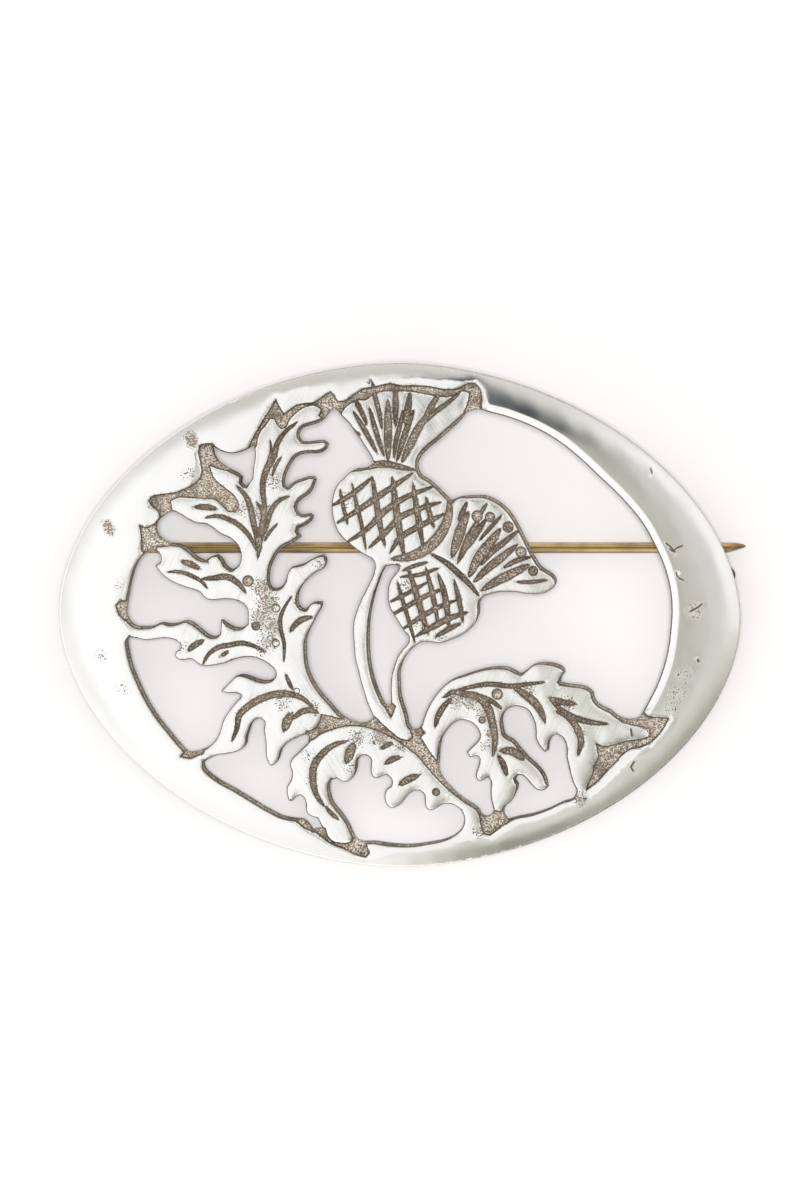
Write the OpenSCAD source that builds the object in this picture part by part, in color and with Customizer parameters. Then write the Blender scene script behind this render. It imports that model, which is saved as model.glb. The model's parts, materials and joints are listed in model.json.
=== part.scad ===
// Oval openwork plaid brooch: a cast silver plate pierced and cut with a thistle plant,
// with a hinged pin across its hollow back. It lies face up, as it does on a table.

/* [Plate] */
// Width of the oval plate
plate_w = 68.2; // [60:0.2:76]
// Height of the oval plate
plate_h = 50.4; // [44:0.2:56]
// How full the oval is: 2 is an ellipse, less is more pointed at the ends
oval_power = 1.86; // [1.8:0.02:2]
// Turn of the oval against the pin
oval_turn = -1; // [-3:0.5:3]
// Thickness of the plate at its outer edge
edge_t = 1.2; // [1:0.1:1.6]
// How far the middle of the plate stands above its edge
dome_rise = 2.4; // [1.6:0.1:3]
// Thickness of the metal over the hollow back
metal_t = 1.8; // [1.5:0.1:2.2]

/* [Relief] */
// Depth of the matted ground round the leaves
ground_depth = 0.7; // [0.4:0.05:0.9]
// Depth of the graver's cuts in the leaves and flower heads
cut_depth = 0.35; // [0.2:0.05:0.5]

/* [Pin] */
// Diameter of the pin wire
pin_d = 1.04; // [0.9:0.02:1.2]
// Diameter of the pin where its point begins
pin_point_d = 0.94; // [0.8:0.02:1.1]
// Distance from the plate's edge plane down to the pin's axis
pin_drop = 1.7; // [1.6:0.05:2]
// Height of the pin above the middle of the plate
pin_y = 6.75; // [5:0.25:8]
// Where the pin's hinge stands, from the middle of the plate
hinge_x = -29.3; // [-30:0.1:-28.5]
// Where the pin's point ends, past the plate's edge
tip_x = 34.7; // [34:0.1:36]
// How far the pin is swung open
pin_open = 0; // [0:1:100]

/* [Hinge and catch] */
// Outer radius of the hinge's two ears
ear_r = 1.1; // [1:0.05:1.3]
// Thickness of an ear
ear_t = 0.7; // [0.5:0.05:0.9]
// Radius of the knuckle on the pin
knuckle_r = 1.05; // [0.95:0.05:1.1]
// Width of the knuckle on the pin
knuckle_w = 1.5; // [1.3:0.1:1.8]
// Radius of the rivet through the hinge
rivet_r = 0.4; // [0.3:0.05:0.5]
// Where the catch stands, from the middle of the plate to its centre
catch_x = 32.1; // [31.8:0.1:32.4]
// Width of the catch along the pin
catch_w = 2.8; // [2.2:0.1:3]
// Inner radius of the catch's curl
catch_r = 0.8; // [0.7:0.05:0.9]
// Thickness of the catch's strip
catch_t = 0.45; // [0.35:0.05:0.5]

/* [Hidden] */
silver = [0.80, 0.80, 0.78];
brass = [0.66, 0.52, 0.26];
oval_sides = 96;
gap_run = 0.03;                     // running clearance round the rivet
gap_side = 0.05;                    // clearance beside the knuckle
solder_in = 0.5;                    // how far the hinge's ears reach into the plate
catch_side = -0.25;                 // from the pin's axis to the middle of the catch's curl
catch_lip = 234;                    // angle at which the curl ends, at the level of the hinge's ears
long_r = pow(plate_w / 2, 2) / (2 * dome_rise);
short_r = pow(plate_h / 2, 2) / (2 * dome_rise);
top_z = edge_t + dome_rise;
ear_inner = knuckle_w / 2 + gap_side;
// Lying face up, the brooch leans from the lower edge of its plate on to its hinge and catch
rest_reach = pin_y + plate_h / 2;
lie_turn = atan(pin_drop / rest_reach) + asin(ear_r / norm([rest_reach, pin_drop]));
lie_lift = plate_h / 2 * sin(lie_turn);
middle_x = (tip_x - plate_w / 2) / 2;
shank_from = hinge_x + 2.4;         // the pin's root flares from here to the knuckle
shank_to = tip_x - 14;              // the pin thins from here to its point
point_from = tip_x - 2.3;
root_d = 1.4;
point_end_d = 0.2;
hole_r = rivet_r + gap_run;
ear_out = ear_inner + ear_t;
head_t = 0.25;                      // the rivet's heads
head_r = rivet_r + 0.25;

// The pattern sheet is ruled in tenths of a millimetre, x to the right and y down,
// and the middle of the plate is at sheet_mid.
sheet_rule = 0.1;
sheet_mid = [400, 615];
function on_plate(p) = [(p.x - sheet_mid.x) * sheet_rule, (sheet_mid.y - p.y) * sheet_rule];
function outline(points) = [for (p = points) on_plate(p)];

// Gaps sawn right through the plate: name, outline
gaps = [
    ["above tall leaf", [
        [213,446], [222,451], [232,453], [242,451], [254,445], [255,457], [253,469], [252,479],
        [246,486], [242,482], [243,476], [238,472], [230,468], [222,463], [216,456]]],
    ["left of tall leaf", [
        [171,511], [180,514], [188,519], [197,523], [206,524], [213,528], [221,534], [230,538],
        [236,543], [240,550], [241,559], [238,566], [232,569], [227,565], [223,558], [218,554],
        [212,556], [206,560], [199,557], [191,550], [182,544], [170,542], [162,538], [157,530],
        [158,521], [164,515]]],
    ["between left leaves", [
        [150,549], [159,553], [161,558], [160,562], [155,565], [159,571], [165,577], [175,583],
        [185,587], [195,590], [200,592], [203,596], [207,599], [215,600], [225,599], [235,600],
        [242,603], [247,608], [248,616], [248,624], [243,627], [237,627], [230,624], [223,619],
        [221,620], [221,628], [220,634], [216,636], [211,635], [204,630], [198,625], [192,621],
        [186,620], [180,622], [172,623], [162,622], [155,625], [145,626], [136,625], [130,620],
        [127,613], [128,602], [130,590], [133,576], [136,566], [141,557]]],
    ["below left leaf", [
        [129,637], [136,638], [145,640], [155,639], [166,638], [175,640], [181,645], [180,649],
        [176,652], [175,656], [178,659], [184,660], [191,659], [196,662], [200,665], [206,666],
        [215,665], [225,663], [235,659], [245,657], [253,657], [262,660], [270,665], [275,670],
        [276,675], [273,679], [268,680], [260,679], [252,676], [245,674], [238,675], [232,680],
        [227,685], [221,691], [227,693], [235,693], [240,694], [241,697], [237,701], [232,707],
        [227,714], [223,721], [221,728], [218,736], [213,743], [208,747], [200,750], [188,751],
        [183,746], [176,738], [168,728], [160,718], [152,706], [145,693], [139,680], [134,668],
        [131,658], [129,648], [128,641]]],
    ["round small lower leaf", [
        [204,762], [210,758], [217,755], [225,754], [235,752], [243,748], [247,743], [248,737],
        [250,730], [252,724], [256,719], [261,718], [265,722], [264,730], [265,737], [266,746],
        [266,754], [268,762], [271,766], [276,763], [280,757], [282,750], [285,745], [290,741],
        [296,738], [302,735], [307,734], [309,738], [308,743], [303,748], [297,754], [292,759],
        [290,765], [292,771], [292,777], [290,782], [287,787], [287,794], [289,801], [292,801],
        [296,797], [300,795], [304,798], [306,804], [306,810], [309,815], [313,817], [318,819],
        [320,823], [322,828], [313,829], [309,823], [304,819], [296,818], [285,816], [270,809],
        [250,797], [235,788], [222,781], [212,774], [206,768]]],
    ["under curled leaf", [
        [337,778], [331,780], [330,786], [331,793], [333,800], [337,806], [342,812], [347,819],
        [351,826], [354,833], [358,839], [365,841], [375,841], [390,843], [402,844], [415,844],
        [430,842], [445,839], [453,836], [460,831], [464,824], [464,816], [461,810], [456,806],
        [450,804], [444,804], [438,807], [433,810], [429,810], [426,807], [425,800], [424,794],
        [420,791], [414,791], [409,794], [405,799], [401,804], [396,807], [391,808], [387,805],
        [385,800], [385,793], [387,789], [391,786], [392,781], [390,777], [386,775], [382,776],
        [377,778], [373,777], [371,772], [371,765], [371,759], [368,756], [363,755], [359,758],
        [358,764], [357,770], [354,776], [350,780], [345,782], [341,781]]],
    ["between tall leaf and stalk", [
        [334,407], [338,411], [343,417], [350,424], [355,432], [361,440], [366,448], [371,456],
        [374,463], [367,467], [358,468], [350,472], [344,478], [338,484], [334,492], [332,502],
        [332,512], [334,522], [338,532], [345,540], [352,546], [360,552], [367,556], [373,560],
        [375,565], [374,572], [371,580], [366,590], [361,600], [357,610], [354,620], [353,632],
        [354,645], [355,658], [358,670], [361,682], [364,692], [367,702], [371,711], [374,718],
        [367,722], [358,722], [350,719], [343,715], [337,709], [331,702], [323,693], [316,683],
        [311,673], [308,662], [307,650], [307,640], [310,630], [315,620], [319,612], [323,605],
        [323,601], [314,602], [309,606], [306,609], [302,607], [299,602], [299,595], [301,588],
        [305,582], [311,576], [318,571], [324,568], [327,563], [327,557], [324,554], [318,556],
        [312,559], [305,563], [298,565], [292,567], [288,573], [286,580], [282,586], [276,588],
        [272,586], [270,581], [270,574], [271,567], [274,560], [278,553], [284,547], [292,543],
        [298,539], [302,536], [298,532], [299,528], [304,526], [309,523], [313,519], [314,515],
        [311,513], [306,514], [300,513], [297,508], [298,503], [303,498], [309,494], [313,489],
        [315,484], [317,479], [315,476], [309,476], [303,478], [297,480], [292,483], [288,487],
        [285,485], [285,479], [287,472], [291,464], [296,457], [302,454], [310,453], [318,453],
        [324,451], [328,447], [329,443], [325,440], [318,440], [310,441], [303,441], [300,437],
        [300,431], [304,427], [310,425], [317,423], [323,420], [328,414]]],
    ["between the stalks", [
        [386,566], [392,565], [398,565], [399,568], [396,573], [392,578], [389,584], [388,591],
        [388,600], [390,608], [394,615], [399,623], [404,631], [409,638], [408,643], [402,650],
        [398,656], [395,664], [392,674], [391,684], [391,694], [391,703], [389,707], [385,702],
        [380,692], [376,681], [373,670], [371,658], [370,645], [370,630], [371,616], [373,604],
        [376,592], [380,580], [383,572]]],
    ["right of the flowers", [
        [469,411], [478,409], [490,412], [502,415], [520,421], [540,430], [560,442], [580,458],
        [600,477], [615,491], [630,507], [644,525], [655,545], [662,560], [668,578], [671,594],
        [672,610], [671,628], [669,645], [666,660], [662,673], [657,686], [651,698], [645,709],
        [640,717], [632,719], [625,718], [618,715], [612,710], [604,706], [598,702], [595,697],
        [594,692], [590,688], [583,685], [575,684], [567,683], [561,682], [562,677], [566,671],
        [564,667], [559,664], [550,662], [541,662], [533,665], [527,670], [521,673], [516,670],
        [510,667], [500,666], [490,667], [478,670], [466,674], [455,678], [446,684], [439,691],
        [433,699], [428,708], [424,718], [421,726], [417,729], [413,729], [410,724], [408,715],
        [405,705], [402,695], [401,682], [401,670], [404,660], [409,652], [415,646], [422,642],
        [431,642], [441,643], [450,640], [460,636], [469,630], [476,622], [480,612], [481,600],
        [483,597], [490,594], [500,592], [515,592], [530,594], [541,594], [549,591], [555,586],
        [557,580], [554,574], [548,570], [542,566], [537,559], [532,550], [527,540], [521,528],
        [515,517], [508,508], [498,500], [486,495], [473,495], [462,496], [452,500], [445,493],
        [438,486], [430,479], [422,474], [419,468], [419,461], [423,454], [430,447], [440,439],
        [450,430], [460,421]]],
    ["in right leaf", [
        [460,720], [468,721], [475,725], [479,731], [480,737], [477,742], [472,747], [467,752],
        [470,757], [477,756], [480,759], [479,765], [477,771], [476,777], [479,781], [484,780],
        [488,777], [491,781], [491,788], [491,797], [493,806], [494,811], [491,815], [486,816],
        [482,813], [480,809], [474,804], [466,799], [458,793], [450,785], [444,778], [440,770],
        [440,758], [441,746], [443,737], [448,729], [454,723]]],
    ["below right leaf", [
        [515,706], [522,707], [528,710], [532,716], [535,724], [536,731], [536,738], [540,746],
        [545,752], [549,750], [550,743], [552,737], [556,734], [561,736], [565,741], [567,749],
        [567,757], [569,766], [571,775], [574,784], [577,791], [575,797], [565,801], [550,808],
        [535,813], [520,816], [509,819], [505,814], [506,806], [511,802], [515,796], [518,789],
        [519,784], [516,779], [518,775], [522,775], [527,779], [532,785], [538,790], [545,790],
        [549,786], [548,780], [544,771], [538,764], [530,757], [522,748], [514,739], [506,734],
        [504,727], [503,719], [505,712], [509,708]]]];

// Matted ground, sunk between the leaves and the frame, and run out over the gaps that it
// meets: name, outline
grounds = [
    ["beside tall leaf", [
        [199,445], [206,443], [212,443], [220,454], [227,460], [236,466], [233,472], [222,470],
        [210,466], [212,474], [218,482], [227,489], [235,496], [239,505], [236,512], [229,512],
        [222,506], [215,500], [205,499], [190,498], [177,498], [171,501], [172,508], [173,517],
        [165,523], [159,516], [158,512], [152,507], [148,501], [152,496], [161,494], [175,492],
        [188,487], [197,481], [201,474], [200,462], [198,453]]],
    ["left edge", [
        [139,525], [146,527], [154,524], [163,526], [165,533], [177,539], [170,546], [158,547],
        [154,555], [147,556], [141,551], [141,540]]],
    ["left corner", [[115,605], [121,600], [134,603], [134,615], [124,621], [118,614]]],
    ["over tall leaf and large flower", [
        [249,445], [253,437], [258,428], [264,418], [269,410], [273,403], [276,399],
        [280,407], [284,413], [290,409], [296,405], [304,403], [313,402], [320,398], [327,393],
        [331,391], [335,396], [338,401], [345,400], [351,396], [357,392], [363,388], [371,387],
        [380,385], [390,383], [400,385], [415,385], [430,386], [440,388], [450,389], [460,387],
        [468,383], [475,383], [480,388], [482,396], [481,405], [483,416], [472,417], [463,413],
        [468,401], [469,393], [464,391], [455,395], [446,397], [436,396], [425,394], [414,392],
        [402,391], [390,391], [380,392], [373,395], [366,400], [358,400], [350,404], [343,411],
        [340,420], [330,421], [318,416], [321,410], [316,406], [308,406], [300,410], [294,415],
        [289,421], [286,427], [281,429], [277,425], [274,419], [270,419], [266,425], [261,431],
        [258,438], [256,447], [250,453], [246,453]]],
    ["under right leaf", [
        [596,743], [604,746], [612,745], [625,741], [640,739], [650,736], [649,729], [640,727],
        [630,725], [621,722], [624,712], [640,709], [648,716], [660,717], [669,718], [666,725],
        [661,733], [652,742], [640,748], [630,750], [622,756], [616,763], [608,771], [600,780],
        [593,786], [586,791], [588,783], [592,775], [594,765], [598,757], [597,750]]],
    ["round curled leaf and below right leaf", [
        [313,740], [303,741], [306,731], [313,729], [319,722], [321,714], [332,716], [343,718],
        [352,714], [366,712], [377,718], [383,724], [391,731], [400,738], [408,740], [412,737],
        [410,731], [417,719], [425,733], [421,737], [426,745], [431,753], [436,759], [447,765],
        [451,776], [459,785], [470,794], [481,803], [489,810], [499,811], [513,813], [510,822],
        [503,826], [497,831], [490,836], [483,834], [480,822], [479,811], [470,805], [458,798],
        [447,789], [437,779], [427,768], [416,755], [404,746], [392,738], [380,732], [368,728],
        [355,726], [343,727], [332,730], [320,735]]],
    ["at curled leaf tip", [
        [296,822], [301,813], [307,817.5], [313,822.5], [316,824], [325,828], [328,836], [333,841],
        [342,843], [350,842], [353,838], [360,833], [369,835], [367,845], [370,853], [366,858],
        [355,855], [343,849], [332,845], [322,838], [314,832], [305,829]]],
    ["lower left foot", [[180,757], [183,753], [190,745], [206,742], [204,753], [198,756], [190,759]]],
    ["beside stalk foot", [
        [376,687], [385,690], [388,698], [396,706], [393,714], [391,718], [387,712], [381,700]]]];

// Veins and petal cuts: width, then the line they follow
cuts = [
    [6, [[297,422], [285,432], [277,444], [274,456], [267,469], [263,482], [263,495], [265,508], [263,524]]],
    [6, [[257,503], [263,512], [262,528], [260,542], [258,558]]],
    [3, [[270,439], [271,450], [268,462], [262,473]]],
    [3, [[282,456], [276,465], [272,477]]],
    [6, [[237,486], [245,495], [250,506], [253,520], [256,534], [258,550]]],
    [5, [[290,496], [280,500], [272,509], [268,521], [265,534]]],
    [3, [[278,523], [270,532], [264,542]]],
    [5, [[205,518], [215,516], [228,519], [240,526], [250,537], [257,551]]],
    [6, [[194,507], [205,507], [217,509]]],
    [6, [[181,561], [190,564], [200,569]]],
    [4, [[167,572], [180,572], [192,576], [202,582], [208,589]]],
    [6, [[202,579], [214,578], [228,577], [238,583], [246,593]]],
    [4, [[292,596], [286,605], [281,616], [281,630], [284,642], [284,662]]],
    [6, [[313,617], [303,619], [295,625], [290,632]]],
    [4, [[286,674], [289,682], [293,690]]],
    [5, [[203,664], [208,655], [217,648], [230,645], [242,643], [254,646], [266,652]]],
    [4, [[221,656], [229,651]]],
    [6, [[188,651], [195,645], [204,640]]],
    [7, [[232,741], [237,728], [239,716], [250,705], [263,698], [277,694], [290,694], [302,698], [313,707]]],
    [6, [[319,713], [310,710], [301,712], [293,719]]],
    [9, [[292,713], [287,722], [284,731]]],
    [7, [[347,741], [334,745], [322,754], [314,766], [313,780], [316,794], [324,806]]],
    [4, [[325,806], [332,814], [339,820]]],
    [9, [[354,743], [350,753], [346,763]]],
    [5, [[393,743], [387,745], [381,749]]],
    [6, [[401,757], [393,759], [385,764]]],
    [7, [[419,775], [409,779], [399,785]]],
    [6, [[435,727], [438,716], [444,706], [452,698]]],
    [8, [[444,697], [453,692], [464,694], [478,697], [488,708], [492,722], [495,738], [493,756]]],
    [5, [[470,694], [482,697], [493,702], [502,709]]],
    [5, [[452,692], [470,687], [490,684], [510,686], [528,684], [545,682]]],
    [8, [[500,751], [511,751], [524,760]]],
    [6, [[498,755], [503,764], [507,776]]],
    [8, [[513,687], [524,694], [535,703], [541,712], [545,722]]],
    [6, [[549,698], [562,702], [576,704]]],
    [6, [[550,699], [560,709], [573,717], [590,722], [608,724]]],
    [7, [[556,711], [568,717], [577,728], [581,741], [578,755]]],
    // petals of the large flower
    [6, [[353,409], [362,424], [370,438], [377,452]]],
    [5, [[356,399], [362,411], [368,425]]],
    [5, [[369,406], [374,421], [379,438], [383,456]]],
    [6, [[373,383], [377,400], [381,416], [382,431]]],
    [7, [[388,402], [388,420], [387,440], [388,460]]],
    [7, [[396,384], [396,405], [396,427]]],
    [7, [[409,395], [406,412], [402,430], [398,446], [395,460]]],
    [5, [[415,411], [408,427], [402,442], [398,458]]],
    [8, [[434,399], [424,416], [414,431], [407,444], [403,459]]],
    [6, [[458,396], [445,408], [430,420], [418,434], [406,452]]],
    [4, [[351,427], [355,432], [361,435]]],
    // petals of the small flower
    [5, [[467,502], [462,513], [458,521]]],
    [12, [[468,512], [462,526], [457,541], [452,557]]],
    [4, [[487,503], [482,511], [478,520]]],
    [7, [[479,519], [470,535], [464,549], [458,562]]],
    [6, [[486,519], [476,534], [468,548]]],
    [4, [[502,515], [491,527], [479,541]]],
    [10, [[500,529], [490,543], [479,557], [469,577]]],
    [6, [[518,531], [503,543], [491,553], [481,565]]],
    [8, [[517,545], [501,558], [487,569], [474,582]]],
    [5, [[531,557], [518,560], [503,568]]],
    [9, [[529,565], [511,574], [497,581], [482,590]]],
    [4, [[516,582], [531,582], [548,580]]],
    // cross cuts of the large flower head
    [5, [[332,506], [352,494], [373,477]]],
    [6, [[337,523], [360,509], [382,494], [413,473]]],
    [6, [[346,543], [367,529], [384,512], [401,500], [434,486]]],
    [6, [[369,548], [386,532], [401,517], [419,509], [441,502]]],
    [6, [[390,553], [400,538], [416,528], [430,521], [444,514]]],
    [4, [[340,489], [343,505], [348,525]]],
    [4, [[352,483], [356,502], [361,522], [366,550]]],
    [6, [[372,477], [376,500], [380,525], [385,546]]],
    [7, [[392,477], [395,500], [399,528], [404,556]]],
    [6, [[413,484], [416,505], [420,529], [423,547]]],
    [5, [[426,497], [429,512], [434,528]]],
    [11, [[392,559], [412,556], [430,546], [443,530], [449,513], [449,500]]],
    // cross cuts of the small flower head
    [4, [[402,571], [414,566], [428,562]]],
    [4, [[400,577], [418,575], [439,568]]],
    [4, [[390,602], [408,593], [428,582]]],
    [5, [[392,615], [411,604], [430,594], [445,588]]],
    [5, [[403,629], [421,617], [441,606], [457,600]]],
    [6, [[416,636], [434,626], [450,618], [468,612]]],
    [5, [[435,637], [449,629], [461,623]]],
    [4, [[397,580], [402,598], [408,618], [415,643]]],
    [6, [[408,568], [414,586], [419,604], [428,634]]],
    [5, [[426,568], [431,588], [435,606], [438,624]]],
    [6, [[438,574], [444,592], [447,610], [449,628]]],
    [5, [[454,580], [458,596], [463,622]]],
    // the collars between heads and petals
    [7, [[350,471], [366,467], [384,464], [400,467], [414,470]]],
    [6, [[431,554], [445,562], [458,573], [469,584], [479,596]]]];

// Punch marks: x, y, diameter
punches = [
    [248, 581, 11], [276, 608, 10], [256, 626, 9], [276, 643, 9], [297, 691, 7], [436, 792, 8],
    [497, 694, 11], [482, 720, 7], [477, 516, 11], [490, 517, 10], [508, 527, 11],
    [521, 552, 11], [533, 571, 10]];

// The outer oval
function oval() = [for (i = [0:oval_sides - 1]) let (a = 360 * i / oval_sides)
    [plate_w / 2 * sign(cos(a)) * pow(abs(cos(a)), 2 / oval_power),
     plate_h / 2 * sign(sin(a)) * pow(abs(sin(a)), 2 / oval_power)]];

// A cut's outline: a line thickened to its width and drawn to a fine end at each side
function side_way(line, i) = let (a = line[max(i - 1, 0)], b = line[min(i + 1, len(line) - 1)],
    d = b - a) [-d.y, d.x] / norm(d);
function cut_half(w, line, i) = let (u = i / (len(line) - 1)) w / 2 * (0.25 + 0.75 * sin(180 * u));
function cut_outline(w, line) = concat(
    [for (i = [0:len(line) - 1]) line[i] + side_way(line, i) * cut_half(w, line, i)],
    [for (i = [len(line) - 1:-1:0]) line[i] - side_way(line, i) * cut_half(w, line, i)]);

// Solid below the plate's domed face, or below that face moved down
module under_dome(down) {
    translate([0, 0, top_z - down - short_r]) rotate([0, 90, 0]) rotate_extrude($fn = 256)
        intersection() {
            translate([short_r - long_r, 0]) circle(long_r, $fn = 256);
            translate([0, -plate_w]) square([short_r + 1, 2 * plate_w]);
        }
}

module through(points, low, high) {
    translate([0, 0, low]) linear_extrude(high - low) polygon(outline(points));
}

// Everything of the given outlines that is cut down to a depth below the domed face
module relief_cut(depth) {
    difference() {
        children();
        under_dome(depth);
    }
}

// Height of the domed face over a point of the plate
function face_z(p) = top_z - p.x * p.x / (2 * long_r) - p.y * p.y / (2 * short_r);

// A tool held square to the domed face at a point of the plate, and sunk into it
module graver(p, depth) {
    translate([p.x, p.y, face_z(p) - depth])
        rotate([-atan(p.y / short_r), atan(p.x / long_r), 0]) children();
}

module engraved(w, line) {
    middle = on_plate(line[floor(len(line) / 2)]);
    graver(middle, cut_depth) linear_extrude(2)
        polygon([for (q = cut_outline(w, line)) on_plate(q) - middle]);
}

// Puts its children on the hinge's axis, with their own Z along it
module at_hinge() {
    translate([hinge_x, pin_y, -pin_drop]) rotate([90, 0, 0]) children();
}

// Two ears that hang under the plate and reach solder_in into it
module hinge_ears() {
    for (side = [-1, 1]) {
        at_hinge() translate([0, 0, side * (ear_inner + ear_t / 2)])
            cylinder(r = ear_r, h = ear_t, center = true, $fn = 64);
        translate([hinge_x - ear_r, pin_y + side * (ear_inner + ear_t / 2) - ear_t / 2, -pin_drop])
            cube([2 * ear_r, ear_t, pin_drop + solder_in]);
    }
}

// A curled strip on a soldered pad; its mouth is open on the side that the pin swings out
module catch() {
    pad = [catch_w, 3.5, 0.9];
    stem_w = 0.8;
    translate([catch_x - catch_w / 2, pin_y, 0]) {
        translate([0, 0.3 - pad.y, solder_in - 0.1 - pad.z]) cube(pad);
        translate([0, catch_side, -pin_drop]) rotate([90, 0, 90]) {
            rotate([0, 0, 90]) rotate_extrude(angle = catch_lip - 90, $fn = 96)
                translate([catch_r, 0]) square([catch_t, catch_w]);
            translate([-stem_w / 2, catch_r + 0.01, 0]) cube([stem_w, catch_t + 0.1, catch_w]);
        }
    }
}

module plate_blank() {
    difference() {
        intersection() {
            rotate(oval_turn) linear_extrude(top_z + 1) polygon(oval());
            under_dome(0);
        }
        under_dome(metal_t);
    }
}

module openwork_plate() color(silver) {
    difference() {
        union() {
            difference() {
                plate_blank();
                for (g = gaps) through(g[1], -1, top_z + 1);
                relief_cut(ground_depth) for (g = grounds) through(g[1], 0, top_z + 1);
                for (c = cuts) engraved(c[0], c[1]);
                for (p = punches) graver(on_plate(p), cut_depth)
                    cylinder(d = p[2] * sheet_rule, h = 2, $fn = 32);
            }
            hinge_ears();
            catch();
        }
        at_hinge() cylinder(r = hole_r, h = 2 * ear_out + 2, center = true, $fn = 48);
    }
}

module hinge_rivet() color(silver) {
    head_at = ear_out + gap_run;
    at_hinge() {
        cylinder(r = rivet_r, h = 2 * (head_at + head_t), center = true, $fn = 48);
        for (side = [-1, 1]) translate([0, 0, side * (head_at + head_t / 2)])
            cylinder(r = head_r, h = head_t, center = true, $fn = 48);
    }
}

// One stretch of the pin, round and straight or tapered, between two places along it
module pin_stretch(from, to, d1, d2) {
    translate([from - hinge_x, 0, 0]) rotate([0, 90, 0]) cylinder(d1 = d1, d2 = d2, h = to - from, $fn = 48);
}

module pin_stem() color(brass) {
    translate([hinge_x, pin_y, -pin_drop]) rotate([0, pin_open, 0])
        difference() {
            union() {
                rotate([90, 0, 0]) cylinder(r = knuckle_r, h = knuckle_w, center = true, $fn = 64);
                pin_stretch(hinge_x + knuckle_r / 2, shank_from, root_d, pin_d);
                pin_stretch(shank_from, shank_to, pin_d, pin_d);
                pin_stretch(shank_to, point_from, pin_d, pin_point_d);
                pin_stretch(point_from, tip_x, pin_point_d, point_end_d);
            }
            rotate([90, 0, 0]) cylinder(r = hole_r, h = knuckle_w + 1, center = true, $fn = 48);
        }
}

// The brooch lies on its hinge, its catch and the lower edge of its plate
module lying() {
    translate([-middle_x, 0, lie_lift]) rotate([lie_turn, 0, 0]) children();
}

lying() openwork_plate();
lying() hinge_rivet();
lying() pin_stem();
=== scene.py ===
"""The looks of an oval plaid brooch in cast silver: thistles and leaves pierced inside a plain frame, a
brass pin hinged across its hollow back, and an open catch. Laid out as a Blender add-on, run as a script.

The plate's relief is worked out in millimetres on the plate, with z up from its flat back, and is then laid
down on the floor as the brooch lies: on its lower edge, its hinge and its catch.
"""

import json
import math
from functools import partial

import bpy
import numpy as np
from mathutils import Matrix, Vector
from mathutils.geometry import delaunay_2d_cdt


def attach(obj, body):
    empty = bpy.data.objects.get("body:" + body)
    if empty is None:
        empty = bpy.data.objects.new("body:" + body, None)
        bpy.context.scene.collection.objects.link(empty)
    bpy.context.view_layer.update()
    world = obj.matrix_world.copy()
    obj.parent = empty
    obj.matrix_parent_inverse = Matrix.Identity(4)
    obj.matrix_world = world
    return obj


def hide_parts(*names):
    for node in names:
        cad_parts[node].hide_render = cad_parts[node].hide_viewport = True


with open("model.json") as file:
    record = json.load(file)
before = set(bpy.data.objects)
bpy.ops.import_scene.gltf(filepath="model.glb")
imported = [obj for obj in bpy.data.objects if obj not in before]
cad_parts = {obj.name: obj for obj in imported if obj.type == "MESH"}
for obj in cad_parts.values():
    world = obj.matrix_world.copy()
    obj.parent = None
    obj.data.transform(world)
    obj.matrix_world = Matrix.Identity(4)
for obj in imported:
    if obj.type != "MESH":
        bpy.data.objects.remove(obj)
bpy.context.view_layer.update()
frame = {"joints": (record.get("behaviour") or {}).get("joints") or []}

bl_info = {
    "name": "Thistle Plaid Brooch",
    "version": (1, 0, 0),
    "blender": (4, 5, 0),
    "location": "3D View > Sidebar > Brooch",
    "description": "Oval openwork brooch in cast silver with a hinged brass pin",
    "category": "Add Mesh",
}

MM = 0.001
HINGE = frame["joints"][0]

# The sheet that the pattern is ruled on: where its middle is, and how long one step is in millimetres
SHEET_MIDDLE = (400, 615)
SHEET_RULE = 0.1

# The plate, in millimetres
PLATE_W = 68.2
PLATE_H = 50.4
OVAL_POWER = 1.86
OVAL_TURN = -1.0
EDGE_T = 1.2
DOME_RISE = 2.4
METAL_T = 1.8
TOP_Z = EDGE_T + DOME_RISE
LONG_R = (PLATE_W / 2) ** 2 / (2 * DOME_RISE)
SHORT_R = (PLATE_H / 2) ** 2 / (2 * DOME_RISE)
GROUND_DEPTH = 0.7
CUT_DEPTH = 0.35
CUT_COAT = 0.86

# The hinge, the catch and the pin, in millimetres
HINGE_X = -29.3
PIN_Y = 6.75
PIN_DROP = 1.7
PIN_R = 0.52
EAR_R = 1.1
EAR_T = 0.7
EAR_AT = 1.15
EAR_ROOT = 0.5
EAR_BEVEL = ((0, 0.12), (0.04, 0.04), (0.12, 0))
KNUCKLE_R = 1.05
KNUCKLE_W = 1.5
KNUCKLE_ROUND = 0.14
RIVET_R = 0.4
BORE_R = 0.43
HEAD_R = 0.65
HEAD_T = 0.25
HEAD_AT = 1.53
CATCH_X = 32.1
CATCH_W = 2.8
CATCH_R = 0.8
CATCH_T = 0.45
CATCH_SIDE = -0.25
CATCH_LIP = 234
STRIP_W = 1.6
STRIP_BEVEL = 0.1
STEM_HALF = 0.4
PAD_BELOW = 3.2
PAD_ABOVE = 0.3
PAD_PAST = 0.56
PAD_PAST_FROM = 3.4
PAD_PAST_LONG = 1.7
PAD_ROWS = ((-0.5, -0.12), (-0.46, -0.03), (-0.38, 0), (0.4, 0))
TIP_X = 34.7
GROOVE_DEPTH = 0.05
GROOVE_ANGLE = 15.0
POINT_SIDE = 0.16
TURNED_SIDES = 48
SMOOTH_ANGLE = 40

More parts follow.
